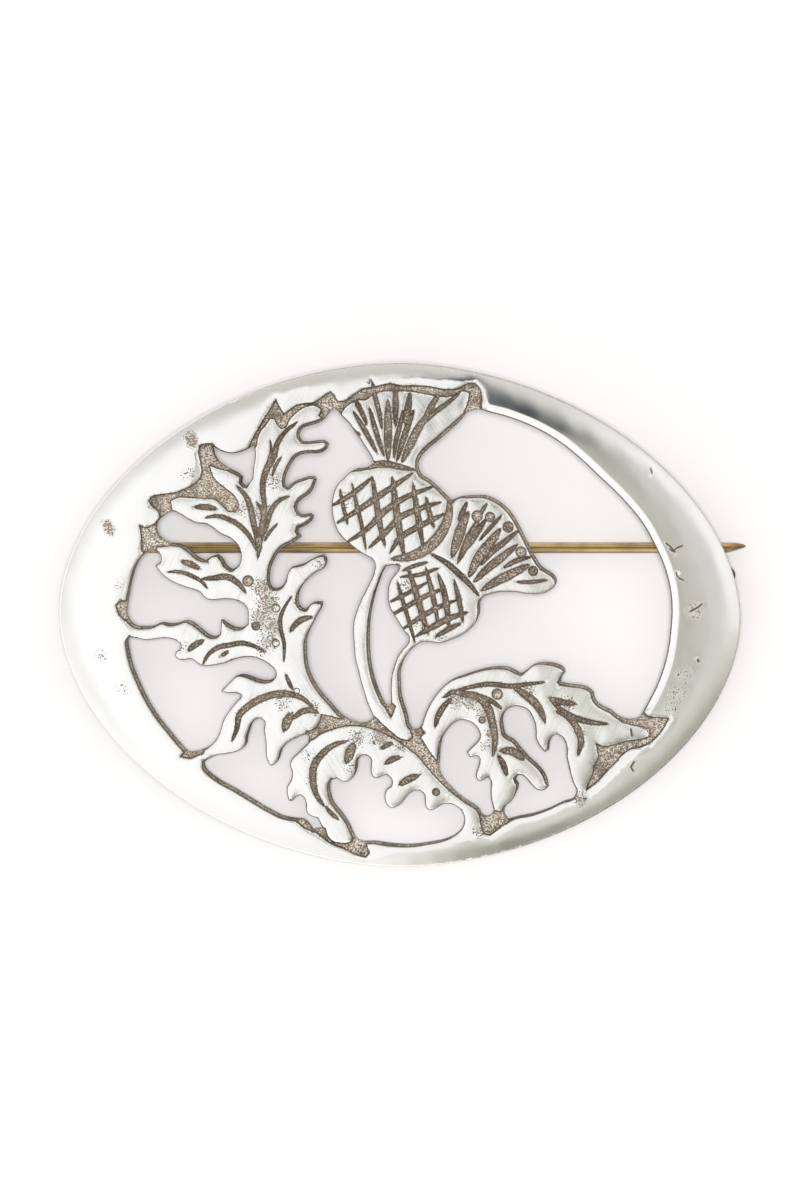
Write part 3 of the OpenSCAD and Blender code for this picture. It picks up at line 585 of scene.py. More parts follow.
def cut_half(half, share):
    """A cut's half width at a share of its length."""
    return half * (0.2 + 0.85 * np.sin(np.pi * np.clip(share, 0, 1)) ** 0.55)


def stain_edge(within):
    """Oxide by the distance in from an edge: a dark line of painted shade along it, at 0.5, and a full coat
    of oxide at 1.
    """
    return np.interp(within, EDGE_SHADE_AT, EDGE_OXIDE_AND_SHADE)


def uneven(points):
    """The slight waves that hand work leaves in the faces, from 0 to 1."""
    waves = np.zeros(len(points))
    for length, degrees, start in WORK_WAVES:
        turn = math.radians(degrees)
        along = points @ np.array([math.cos(turn), math.sin(turn)])
        waves += np.sin(along * 2 * math.pi / length + start)
    return 0.5 + waves / (2 * len(WORK_WAVES))


def raise_to(values, near, least):
    """Raises the values at the indices near to at least these."""
    values[near] = np.maximum(values[near], least)


class Relief:
    """The plate's pattern as smooth curves, and the heights, the oxide and the painted shade that come from
    it.
    """

    def __init__(self, ground_depth, cut_depth):
        self.ground_depth = ground_depth
        self.cut_depth = cut_depth
        self.rim = oval(OVAL_SIDES)
        self.gaps = {}
        for name, points in GAPS.items():
            loop = outline(points, GAP_STEP)
            out = -side_normals(loop)
            wide = WALL_NARROW + (WALL_WIDE - WALL_NARROW) * ease(out @ WALL_FACING, *WALL_TURN)
            for slanted, span, width in SLANTS:
                if slanted == name:
                    wide += (width - wide) * on_span(np.arange(len(loop)), loop, span)
            for _ in range(3):
                wide = (np.roll(wide, 1) + 2 * wide + np.roll(wide, -1)) / 4
            self.gaps[name] = (loop, out, wide)
        self.grounds = [outline(points, GROUND_STEP) for points in GROUNDS.values()]
        self.cuts, self.nicks = (
            [(row[0] * SHEET_RULE / 2, smooth_line(on_plate(row[1:]), step, closed=False)) for row in table]
            for table, step in ((CUTS, CUT_STEP), (NICKS, NICK_STEP)))
        self.punches = [(on_plate(row[:2])[0], row[2] * SHEET_RULE / 2) for row in PUNCHES]
        self.leafy = outline(FRAME_INNER, LEAFY_STEP)

    def whole_rows(self):
        """Rows of points along the rolled rim and the bevel, which stay whole."""
        rows = [oval(OVAL_SIDES, inset) for inset in RIM_ROWS]
        loop, out, wide = self.gaps[BEVEL_GAP]
        on = on_span(np.arange(len(loop)), loop, BEVEL_SPAN) > 0
        for reach in [wide / 2] + [wide + more for more in BEVEL_ROWS]:
            rows.append((loop + out * reach[:, None])[on])
        return np.concatenate(rows)

    def off_rows(self, points):
        """Which points are clear of the whole rows."""
        clear = inside(points, oval(OVAL_SIDES, RIM_CLEAR))
        loop, _, wide = self.gaps[BEVEL_GAP]
        near = close_to(points, loop, 1.2)
        far, along = nearest(points[near], loop)
        beside = far - width_at(wide, along) < BEVEL_WIDE + 5 * CREASE_ROW
        clear[near] &= ~(beside & (on_span(along, loop, BEVEL_SPAN) > 0))
        return clear

    def ring_points(self):
        """Points along every other edge of the relief, in the order of their weight, and over the rest."""
        rings = []
        for loop, out, wide in self.gaps.values():
            rings += [loop + out * (wide * share + more)[:, None] for share, more in GAP_ROWS]
        for half, line in self.cuts:
            left = side_normals(line, closed=False)
            side = left * cut_half(half, np.linspace(0, 1, len(line)))[:, None]
            rings.append(line)
            for share, more in CUT_ROWS:
                rings += [line + (side * share + left * more), line - (side * share + left * more)]
        for half, line in self.nicks:
            side = side_normals(line, closed=False) * half
            rings += [line + side * k for k in NICK_ROWS]
        for loop in self.grounds:
            rings += [loop + side_normals(loop) * inset for inset in GROUND_ROWS]
        for middle, radius in self.punches:
            rings += [middle + circle(18) * radius * k for k in PUNCH_ROWS]
        rings += [oval(400, inset) for inset in FRAME_ROWS]
        rings.append(grid(PLATE_W / 2, PLATE_H / 2, GRID_STEP, GRID_ROW))
        return np.concatenate(rings)

    def height(self, points):
        """At each point the face's height, and how much oxide and painted shade, pitting, stain and file
        work it has.
        """
        deep, dark, pitted, filed = np.zeros((4, len(points)))
        to_edge, inset = np.full((2, len(points)), FAR_AWAY)
        for name, (loop, _, wide) in self.gaps.items():
            near = close_to(points, loop, EDGE_REACH)
            far, along = nearest(points[near], loop)
            width = width_at(wide, along)
            raise_to(deep, near, soft_ramp(WALL_DROP * (1 - far / width), WALL_ROUND))
            # a line of painted shade along the gap's edge, and oxide on its wall
            raise_to(dark, near, stain_edge(np.minimum(width - far, far + 0.08)))
            to_edge[near] = np.minimum(to_edge[near], np.maximum(far - width, 0))
            if name == BEVEL_GAP:
                fall = BEVEL_DEEP * soft_ramp(1 - (far - width) / BEVEL_WIDE, BEVEL_ROUND)
                raise_to(deep, near, on_span(along, loop, BEVEL_SPAN) * fall)
        for loop in self.grounds:
            near = close_to(points, loop, EDGE_REACH)
            within = depth_in(points[near], loop)
            raise_to(deep, near, self.ground_depth * ease(within, *GROUND_WALL))
            # a line of painted shade along the ground's edge, and oxide over it
            raise_to(dark, near, stain_edge(within))
            to_edge[near] = np.minimum(to_edge[near], np.maximum(-within, 0))
        near = close_to(points, self.leafy, 1.0)
        filed[near] = ease(depth_in(points[near], self.leafy), *FILED_FROM)
        lift = PILLOW * np.exp(-to_edge / PILLOW_REACH) + filed * LEAF_SWELL * np.exp(-to_edge / LEAF_REACH)
        deep += lift
        to_dark = to_edge.copy()
        for half, line in self.cuts:
            near = close_to(points, line, half + 0.8)
            far, along = nearest(points[near], line, closed=False)
            width = cut_half(half, along / (len(line) - 1))
            across = np.clip(far / width, 0, 1)
            cut = self.cut_depth * (width / half) ** 0.5 * min(1.0, half / 0.3) * (1 - across**2.2)
            raise_to(deep, near, cut + lift[near])
            # a line of painted shade along the cut's edges, and oxide in it
            raise_to(dark, near, CUT_COAT * stain_edge(width - far) * ease(width, 0.02, 0.08))
            to_dark[near] = np.minimum(to_dark[near], np.maximum(far - width, 0))
        deep += CUT_ROUND * np.exp(-np.where(to_dark < to_edge, to_dark, FAR_AWAY) / CUT_ROUND_REACH)
        for row, (middle, radius) in enumerate(self.punches):
            near = close_to(points, middle[None], radius * 1.3)
            far = np.linalg.norm(points[near] - middle, axis=1)
            if row in STRUCK_RINGS:
                across = np.clip(np.abs(far - radius * RING_AT) / (radius * RING_HALF), 0, 1)
                sunk, coat = self.cut_depth * RING_DEPTH, RING_COAT * (1 - ease(across, 0.4, 1.0))
            else:
                across = np.clip(far / radius, 0, 1)
                # a line of painted shade round the punch mark's edge, and oxide in it
                sunk, coat = self.cut_depth, stain_edge(radius - far)
            raise_to(dark, near, coat)
            raise_to(deep, near, lift[near] + sunk * (1 - across**2.5))
        for half, line in self.nicks:
            near = close_to(points, line, half * 3)
            across = nearest(points[near], line, closed=False)[0] / half
            raise_to(deep, near, lift[near] + NICK_DEPTH * (1 - np.minimum(across, 1) ** 2))
            raise_to(dark, near, NICK_COAT * (1 - ease(across, *NICK_EDGE)))
        outer = np.flatnonzero(((points / (PLATE_W / 2, PLATE_H / 2)) ** 2).sum(1) > 0.55)
        inset[outer] = nearest(points[outer], self.rim)[0]
        shoulder = np.clip(1 - inset / SHOULDER, 0, 1)
        roll = np.clip(1 - inset / EDGE_ROLL, 0, 1)
        deep += SHOULDER_FALL * shoulder**2 + EDGE_FALL * (1 - np.sqrt(1 - roll**2))
        # painted shade darkens the rim's outer edge, which mirrors dark there, and fades towards the lit
        # lower left
        lit_side = ease(points @ RIM_LIT_WAY, *RIM_LIT_SPAN)
        dark = np.maximum(dark, RIM_SHADE * (1 - 0.8 * lit_side) * (1 - ease(inset, 0.02, 0.13)))
        deep += uneven(points) * (WORKED_FRAME + (WORKED_LEAF - WORKED_FRAME) * filed)
        for x, y, radius, dense in PITTED:
            far = np.linalg.norm(points - on_plate([x, y]), axis=1) / (radius * SHEET_RULE)
            pitted = np.maximum(pitted, dense * (1 - ease(far, *PIT_EDGE)))
        stain = np.exp(-to_dark / STAIN_REACH)
        return dome(points) - deep, {"oxide_and_shade": dark, "pitted": pitted, "stain": stain, "filed": filed}


# Meshes
def thinned(points, cell):
    """The first point in each cell of a fine grid."""
    key = np.round(points / cell).astype(np.int64)
    _, first = np.unique(key[:, 0] * 100003 + key[:, 1], return_index=True)
    return points[np.sort(first)]


def triangulate(rim, holes, free_points):
    """Triangles inside the rim and outside the holes; the points of the rim and the holes come first."""
    edges, at = [], 0
    for loop in [rim] + holes:
        n = len(loop)
        edges += [(at + i, at + (i + 1) % n) for i in range(n)]
        at += n
    points = [Vector(p) for p in np.concatenate([rim, *holes, free_points])]
    verts, _, faces, _, _, _ = delaunay_2d_cdt(points, edges, [], 0, 1e-5, False)
    verts = np.array(verts, float)
    faces = np.array([f for f in faces if len(f) == 3], np.int64)
    middle = verts[faces].mean(1)
    faces = faces[inside(middle, rim) & clear_of(middle, holes, 0)]
    a, b, c = (verts[faces[:, k]] for k in range(3))
    area = (b[:, 0] - a[:, 0]) * (c[:, 1] - a[:, 1]) - (b[:, 1] - a[:, 1]) * (c[:, 0] - a[:, 0])
    faces[area < 0] = faces[area < 0][:, ::-1]
    return verts, faces


def border(faces):
    """The directed edges that only one triangle uses."""
    pairs = np.concatenate([faces[:, [0, 1]], faces[:, [1, 2]], faces[:, [2, 0]]])
    seen = {(int(a), int(b)) for a, b in pairs}
    return np.array([p for p in seen if (p[1], p[0]) not in seen])


def laid_down(points):
    """Points of the plate, in millimetres, as metres in the shared frame, where the brooch lies."""
    rel = np.asarray(points, float) - HINGE_POINT
    c, s = math.cos(LIE_TURN), math.sin(LIE_TURN)
    lying = np.stack([rel[:, 0], rel[:, 1] * c - rel[:, 2] * s, rel[:, 1] * s + rel[:, 2] * c], 1)
    return (lying + HINGE_WORLD) * MM


def put(name, data):
    """A new object in the scene."""
    thing = bpy.data.objects.new(name, data)
    bpy.context.scene.collection.objects.link(thing)
    return thing


def new_piece(name, parts, body, slot):
    """Parts in the plate's millimetres, each (vertices, faces), as one piece that rides on a body."""
    faces, at = [], 0
    for part_verts, part_faces in parts:
        faces += [[int(i) + at for i in face] for face in part_faces]
        at += len(part_verts)
    mesh = bpy.data.meshes.new(name)
    mesh.from_pydata(laid_down(np.concatenate([verts for verts, _ in parts])).tolist(), [], faces)
    mesh.validate()
    mesh.update()
    mesh.polygons.foreach_set("use_smooth", np.ones(len(mesh.polygons), bool))
    mesh.set_sharp_from_angle(angle=math.radians(SMOOTH_ANGLE))
    maker = {"silver": cast_silver, "brass": drawn_brass}[slot]
    mesh.materials.append(bpy.data.materials.get(maker.__name__) or maker(bpy.context.scene.brooch_look))
    piece = put(name, mesh)
    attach(piece, body)
    return piece


def paint(piece, name, values):
    """A number at each point of the piece, which its material reads by name."""
    attribute = piece.data.attributes.new(name, "FLOAT", "POINT")
    attribute.data.foreach_set("value", np.asarray(values, np.float32))


def lofted(rings, looped=False):
    """Vertices and faces between rings of the same count, with flat ends or looped to the first ring."""
    n, count = len(rings[0]), len(rings)
    faces = []
    for k in range(count if looped else count - 1):
        a, b = k * n, (k + 1) % count * n
        faces += [[a + i, a + (i + 1) % n, b + (i + 1) % n, b + i] for i in range(n)]
    if not looped:
        faces += [list(range(n))[::-1], list(range(n * (count - 1), n * count))]
    return np.concatenate(rings), faces


def turned(profile, origin, looped=False):
    """A solid turned about the y axis through origin; the profile's rows are (y, radius)."""
    x, z = circle(TURNED_SIDES).T[::-1]
    rings = [np.stack([r * x, np.full(len(x), y), r * z], 1) + origin for y, r in profile]
    return lofted(rings, looped)


def rounded_box(half_x, half_y, radius, steps):
    """A box's outline with round corners, anticlockwise; the halves reach to the middles of the corners."""
    points = []
    for side_x, side_y, start in ((1, 1, 0), (-1, 1, 90), (-1, -1, 180), (1, -1, 270)):
        for a in np.radians(np.linspace(start, start + 90, steps)):
            points.append([side_x * half_x + radius * math.cos(a), side_y * half_y + radius * math.sin(a)])
    return np.array(points)


def at_level(points, z):
    """Points of the plate's plane at a height."""
    return np.column_stack([points, np.full(len(points), z)])


def solder_fillet(middle, half_x, half_y, level, size):
    """The hollow skirt of solder round a foot; level is the metal's height and size the skirt's reach."""
    rings = []
    for t in np.linspace(0, math.pi / 2, 6):
        skirt = rounded_box(half_x - 0.02, half_y - 0.02, size * (1 - math.sin(t)) + 0.02, 6)
        rings.append(at_level(middle + skirt, level - size * (1 - math.cos(t))))
    return lofted([rings[0] + (0, 0, 0.3)] + rings)


# Materials
def linear(hex_colour):
    """An sRGB hex colour as the linear colour that the shaders take."""
    channels = [int(hex_colour[i:i + 2], 16) / 255 for i in (1, 3, 5)]
    return [c / 12.92 if c <= 0.04045 else ((c + 0.055) / 1.055) ** 2.4 for c in channels] + [1.0]


def add_node(tree, kind, inputs=(), out=0, stops=None, **settings):
    """Adds a node and gives its output socket out. Inputs, in order or by name or number, are values or the
    sockets that feed them; stops are a ramp's colours by their places; settings are its properties."""
    node = tree.nodes.new("ShaderNode" + kind)
    for name, value in settings.items():
        setattr(node, name, value)
    for key, value in (inputs if isinstance(inputs, dict) else dict(enumerate(inputs))).items():
        if isinstance(value, bpy.types.NodeSocket):
            tree.links.new(value, node.inputs[key])
        else:
            node.inputs[key].default_value = value
    if stops:
        while len(node.color_ramp.elements) < len(stops):
            node.color_ramp.elements.new(1.0)
        for element, (place, colour) in zip(node.color_ramp.elements, stops.items()):
            element.position = place
            element.color = linear(colour) if isinstance(colour, str) else (*colour, 1)
    return node.outputs[out] if node.outputs else None


def per_mm(size):
    """The scale of a pattern whose features are size millimetres apart, on coordinates in metres."""
    return 1 / (size * MM)


def new_material(name):
    """A material without nodes, and add_node for its tree."""
    material = bpy.data.materials.new(name)
    material.use_nodes = True
    material.node_tree.nodes.clear()
    return material, partial(add_node, material.node_tree)


def cast_silver(look):
    """Polished cast sterling silver, oxidised where it is sunk. The polish mirrors the room softly, with
    fine file lines; the sunk ground is matted, brown-grey and dull, which makes the pattern readable."""
    material, node = new_material("cast_silver")
    place = node("TexCoord", out="Object")
    # the oxide layer also holds painted shade: dark lines along sunk edges and along the rim's outer edge
    oxide_and_shade, pitted, stain, filed = (
        node("Attribute", out="Fac", attribute_name=name) for name in ("oxide_and_shade", "pitted", "stain", "filed"))
    # the matted ground's grain is 0.1 mm, drawn as 0.15 mm so that it shows; the casting's pits are 0.15 mm;
    # the oxide is darker in places 1.6 mm apart, the polish cloudy by 3 mm, and each filed patch 9 mm wide
    grain, speck, shade, cloud, patch = (
        node("TexNoise", {"Vector": place, "Scale": per_mm(size), "Detail": detail})
        for size, detail in ((0.15, 2), (0.15, 0), (1.6, 2), (3, 4), (9, 0)))
    # file lines are 0.05 mm apart and 4 mm long, drawn 0.2 mm apart so that they show; the leaves were filed
    # one by one, so the strokes go one way or the other
    strokes = []
    for degrees in (32, -24):
        way = node("Mapping", {"Vector": place, "Rotation": (0, 0, math.radians(degrees)),
                               "Scale": (0.2 * MM, 4 * MM, 2 * MM)}, vector_type="TEXTURE")
        strokes.append(node("TexNoise", {"Vector": way, "Scale": 1, "Detail": 2}))
    lines = node("Mix", {0: node("MapRange", [patch, 0.46, 0.54]), 2: strokes[0], 3: strokes[1]})
    loose = node("Math", [pitted, 0.23, speck], operation="MULTIPLY_ADD")
    pit = node("MapRange", [pitted, 0.02, 0.2, 0, node("MapRange", [loose, 0.7, 0.76, 0, 0.5])])
    # the oxide's edge is a little ragged
    ragged = node("Math", [node("MapRange", [oxide_and_shade, 0, 0.1, 0.1, 0.4]), stain], operation="MULTIPLY")
    ragged = node("Math", [node("Math", [grain, -0.5]), ragged, oxide_and_shade], operation="MULTIPLY_ADD")
    coat = node("Math", [ragged, pit], operation="MAXIMUM")
    # painted shade: the dark stops at 0.42 and 0.6 are the line of shade along each sunk edge; 1 is the
    # oxide
    colour = node("ValToRGB", [coat], stops={
        0: look.silver_colour, 0.1: "#f0edea", 0.28: "#8a7f74", 0.42: "#463c33", 0.6: "#54493e",
        0.85: "#685d51", 1: look.oxide_colour})
    # each grain of the ground is tinted pale or dark, the pale specks as painted glints, and the oxide is
    # uneven
    thick = node("Math", [coat, 6], operation="POWER")
    tints = []
    for pattern, low, high, most, where, tint in (
            (grain, 0.5, 0.63, 0.9, thick, "#e0d8cc"), (grain, 0.49, 0.32, 0.95, coat, "#362d24"),
            (shade, 0.47, 0.64, 0.55, coat, "#43372c")):
        share = node("MapRange", [pattern, low, high, 0, most])
        tints.append((node("Math", [share, where], operation="MULTIPLY"), tint))
    # the polish holds a little brown next to the sunk work, along the file lines and where it is pitted
    dirt = 0.0
    scratched = node("MapRange", [lines, 0.55, 0.72, 0, node("MapRange", [cloud, 0.45, 0.62, 0, 0.315])])
    for where, amount in ((stain, node("MapRange", [cloud, 0.35, 0.65, 0, 0.16])), (filed, scratched),
                          (node("MapRange", [pitted, 0.5, 1, 0, 0.55]),
                           node("MapRange", [grain, 0.4, 0.6, 0.4, 1]))):
        dirt = node("Math", [where, amount, dirt], operation="MULTIPLY_ADD")
    for share, tint in tints + [(dirt, "#9d9184")]:
        colour = node("Mix", {0: share, 6: colour, 7: linear(tint)}, out=2, data_type="RGBA")
    polish = node("Mix", {0: filed, 2: node("MapRange", [cloud, 0.3, 0.7, 0.08, 0.13]),
                          3: node("MapRange", [lines, 0.3, 0.7, 0.15, 0.3])})
    filing = node("Math", [lines, filed], operation="MULTIPLY")
    bumps = node("Bump", {"Height": filing, "Strength": 0.25, "Distance": 0.02 * MM})
    rugged = node("Math", [coat, node("Math", [pitted, 0.4], operation="MULTIPLY")], operation="MAXIMUM")
    matted = node("Math", [grain, rugged], operation="MULTIPLY")
    bumps = node("Bump", {"Height": matted, "Normal": bumps, "Strength": 0.9, "Distance": 0.14 * MM})
    node("OutputMaterial", [node("BsdfPrincipled", {
        "Base Color": colour, "Metallic": node("MapRange", [coat, 0.15, 0.5, 1, 0.3]),
        "Roughness": node("MapRange", [coat, 0.15, 0.5, polish, 0.62]), "Normal": bumps})])
    return material


def drawn_brass(look):
    """Drawn brass wire, a little tarnished: yellow, with fine lines along it from the drawing die."""
    material, node = new_material("drawn_brass")
    place = node("TexCoord", out="Object")
    # drawing lines are 0.03 mm apart round the wire and 6 mm long, drawn 0.2 mm apart so that they show
    along = node("Mapping", {"Vector": place, "Scale": (per_mm(6), per_mm(0.2), per_mm(0.2))})
    lines = node("TexNoise", {"Vector": along, "Scale": 1, "Detail": 2})
    # tarnish in clouds of 2.5 mm; painted shade darkens the long groove, as a dark reflection, and the
    # wire's sides; the filed point and the knuckle are darker too
    tarnish = node("TexNoise", {"Vector": place, "Scale": per_mm(2.5), "Detail": 4})
    colour = (*look.brass_colour, 1)
    for share, tint in ((node("MapRange", [tarnish, 0.45, 0.75, 0, 0.6]), "#8f7042"),
                        (node("Attribute", out="Fac", attribute_name="grime_and_shade"), "#5e4c35")):
        colour = node("Mix", {0: share, 6: colour, 7: linear(tint)}, out=2, data_type="RGBA")
    node("OutputMaterial", [node("BsdfPrincipled", {
        "Base Color": colour, "Metallic": 1.0, "Roughness": node("MapRange", [lines, 0, 1, 0.2, 0.42]),
        "Normal": node("Bump", {"Height": lines, "Strength": 0.35, "Distance": 0.02 * MM})})])
    return material


def studio_light():
    """The white room round the brooch, as its polish mirrors it: white at the lower left, grey towards the
    upper right, a dark flag above, and a grey wall low at the lower right."""
    world = bpy.data.worlds.new("studio")
    world.use_nodes = True
    world.node_tree.nodes.clear()
    node = partial(add_node, world.node_tree)
    way = node("TexCoord", out="Generated")
    up = node("Math", [node("SeparateXYZ", [way], out="Z"), 0.12], operation="MAXIMUM")
    # where each ray meets a sheet one metre above the plate and level with it: across, along and 1
    sheet = node("VectorMath", [node("VectorMath", [way, up], operation="DIVIDE"), (1, 1, 0),
                                (0, math.tan(LIE_TURN), 1)], operation="MULTIPLY_ADD")
    slant, corner, flag_line, flag_place = (
        node("VectorMath", [sheet, weights], out="Value", operation="DOT_PRODUCT")
        for weights in ((1.5, 0.25, 0.5), (0.75, -0.65, 0), (1.43, 1, 0), (1, -1, 0)))
    reach = node("VectorMath", [node("VectorMath", [sheet, (1 / 0.35, 1 / 0.4, 0)], operation="MULTIPLY")],
                 out="Value", operation="LENGTH")
    bearing = node("Math", [node("SeparateXYZ", [sheet], out=axis) for axis in "YX"], operation="ARCTAN2")
    bearing = node("Math", [bearing, 1 / (2 * math.pi), 0.5], operation="MULTIPLY_ADD")
    walls, doors, far = (node("ValToRGB", [bearing], stops=stops) for stops in (WALLS, DOORS, FAR_WALLS))
    flag = 1.0
    for value, low, high, first, last in (
            (flag_line, 0.56, 0.71, 1, 0), (flag_line, 0.38, 0.46, 0, 1), (flag_place, -0.5, -0.33, 0, 1),
            (flag_place, -0.17, -0.11, 1, 0.25), (flag_place, -0.08, 0, 1, 0)):
        step = node("MapRange", [value, low, high, first, last], interpolation_type="SMOOTHSTEP")
        flag = node("Math", [flag, step], operation="MULTIPLY")
    room = node("ValToRGB", [slant], stops=OVERHEAD)
    for value, low, high, colour in ((corner, 0.32, 0.37, linear("#d0cec6")), (reach, 1.07, 1.29, walls),
                                     (reach, 1.27, 1.42, doors), (reach, 1.8, 2.6, far)):
        share = node("MapRange", [value, low, high], interpolation_type="SMOOTHSTEP")
        room = node("Mix", {0: share, 6: room, 7: colour}, out=2, data_type="RGBA")
    room = node("Mix", {0: flag, 6: room, 7: linear("#43494c")}, out=2, data_type="RGBA")
    strength = node("MapRange", [reach, 2.2, 3.2, 1.12, 1.47], interpolation_type="SMOOTHSTEP")
    node("OutputWorld", [node("Background", [room, strength])])
    return world


# The add-on
class BroochLook(bpy.types.PropertyGroup):
    """The sizes and colours that a user would change."""

    ground_depth: bpy.props.FloatProperty(
        name="Ground Depth", description="How deep the matted ground is sunk under the face",
        default=GROUND_DEPTH * MM, min=0.1 * MM, max=1.2 * MM, precision=5, unit="LENGTH")
    cut_depth: bpy.props.FloatProperty(
        name="Cut Depth", description="How deep the graver's cuts and the punch marks are",
        default=CUT_DEPTH * MM, min=0.05 * MM, max=0.8 * MM, precision=5, unit="LENGTH")
    silver_colour: bpy.props.FloatVectorProperty(
        name="Silver", description="Colour of the polished silver", subtype="COLOR", min=0.0, max=1.0,
        default=linear("#f7f7f6")[:3])
    oxide_colour: bpy.props.FloatVectorProperty(
        name="Oxide", description="Colour of the matted ground", subtype="COLOR", min=0.0, max=1.0,
        default=linear("#9b9083")[:3])
    brass_colour: bpy.props.FloatVectorProperty(
        name="Brass", description="Colour of the pin's bright brass", subtype="COLOR", min=0.0, max=1.0,
        default=linear("#dcbe88")[:3])
    lamp_strength: bpy.props.FloatProperty(
        name="Lamp", description="Strength of the lamp above the brooch", default=3.5, min=0.0)
    camera_height: bpy.props.FloatProperty(
        name="Camera Height", description="How far the camera is above the brooch", default=1.0, min=0.2,
        unit="LENGTH")
    view_height: bpy.props.FloatProperty(
        name="View Height", description="How much the picture shows from top to bottom", default=0.12,
        min=0.02, unit="LENGTH")
    floor_colour: bpy.props.FloatVectorProperty(
        name="Floor", description="Colour of the paper that the brooch lies on", subtype="COLOR", min=0.0,
        max=1.0, default=linear("#c0bebe")[:3])


class BROOCH_OT_plate(bpy.types.Operator):
    """Makes the pierced and engraved silver plate"""

    bl_idname = "brooch.plate"
    bl_label = "Openwork Plate"

    def execute(self, context):
        look = context.scene.brooch_look
        relief = Relief(look.ground_depth / MM, look.cut_depth / MM)
        rim = relief.rim
        loops = [loop for loop, _, _ in relief.gaps.values()]
        free = relief.ring_points()
        free = thinned(free[relief.off_rows(free) & clear_of(free, loops, GAP_CLEAR)], THIN_CELL)
        verts, faces = triangulate(rim, loops, np.concatenate([relief.whole_rows(), free]))
        height, layers = relief.height(verts)
        top = np.column_stack([verts, height])
        # the hollow back has a crease where its dome meets the flat rim
        crease = circle(240) * (math.sqrt(2 * (TOP_Z - METAL_T)) * np.sqrt([LONG_R, SHORT_R]))
        free = np.concatenate([crease, grid(34, 25, BACK_STEP, BACK_ROW)])
        free = free[inside(free, oval(OVAL_SIDES, BACK_RIM)) & clear_of(free, loops, BACK_CLEAR)]
        low_verts, low_faces = triangulate(rim, loops, thinned(free, BACK_CELL))
        low = np.column_stack([low_verts, np.maximum(dome(low_verts) - METAL_T, 0)])
        # walls: one band half way down, and one to the underside
        fixed = len(rim) + sum(len(loop) for loop in loops)
        middle = (top[:fixed] + low[:fixed]) / 2
        n_top, n_mid = len(top), len(top) + fixed
        faces, edges = list(faces), border(faces)
        for a, b in edges:
            faces += [[b, a, n_top + a, n_top + b], [n_top + b, n_top + a, n_mid + a, n_mid + b]]
        faces += [n_mid + f[::-1] for f in low_faces]
        piece = new_piece("plate", [(np.concatenate([top, middle, low]), faces)], "brooch", "silver")
        # the walls of the gaps are dark, the outer edge is bright, and the back is a little tarnished
        sawn = np.arange(fixed) >= len(rim)
        for name, (wall, under) in UNSEEN.items():
            paint(piece, name, np.concatenate([layers[name], wall * sawn, np.full(len(low), under)]))
        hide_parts("openwork_plate")
        return {"FINISHED"}


class BROOCH_OT_hinge(bpy.types.Operator):
    """Makes the two soldered ears and the rivet between them"""

    bl_idname = "brooch.hinge"
    bl_label = "Hinge Ears and Rivet"

    def execute(self, context):
        ears = []
        a = np.linspace(0, math.pi, 25)
        half = EAR_T / 2
        rows = [(depth - half, shrink) for depth, shrink in EAR_BEVEL]
        for middle in (PIN_Y - EAR_AT, PIN_Y + EAR_AT):
            rings = []
            for depth, shrink in rows + [(-depth, shrink) for depth, shrink in rows[::-1]]:
                r = EAR_R - shrink
                x = np.concatenate([[r], r * np.cos(a), [-r]])
                z = np.concatenate([[EAR_ROOT], -PIN_DROP - r * np.sin(a), [EAR_ROOT]])
                rings.append(np.stack([HINGE_X + x, np.full(len(x), middle + depth), z], 1))
            ears += [lofted(rings), solder_fillet((HINGE_X, middle), EAR_R, half, 0.0, 0.3)]
        new_piece("hinge_ears", ears, "brooch", "silver")
        head = [(HEAD_AT + HEAD_T * math.sin(t), HEAD_R * math.cos(t)) for t in np.linspace(0, 1.45, 8)]
        half_rivet = [(HEAD_AT, RIVET_R)] + head
        rivet = turned([(-y, r) for y, r in half_rivet[::-1]] + half_rivet, HINGE_POINT)
        rivet = new_piece("rivet", [rivet], "brooch", "silver")
        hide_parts("hinge_rivet")
        return {"FINISHED"}


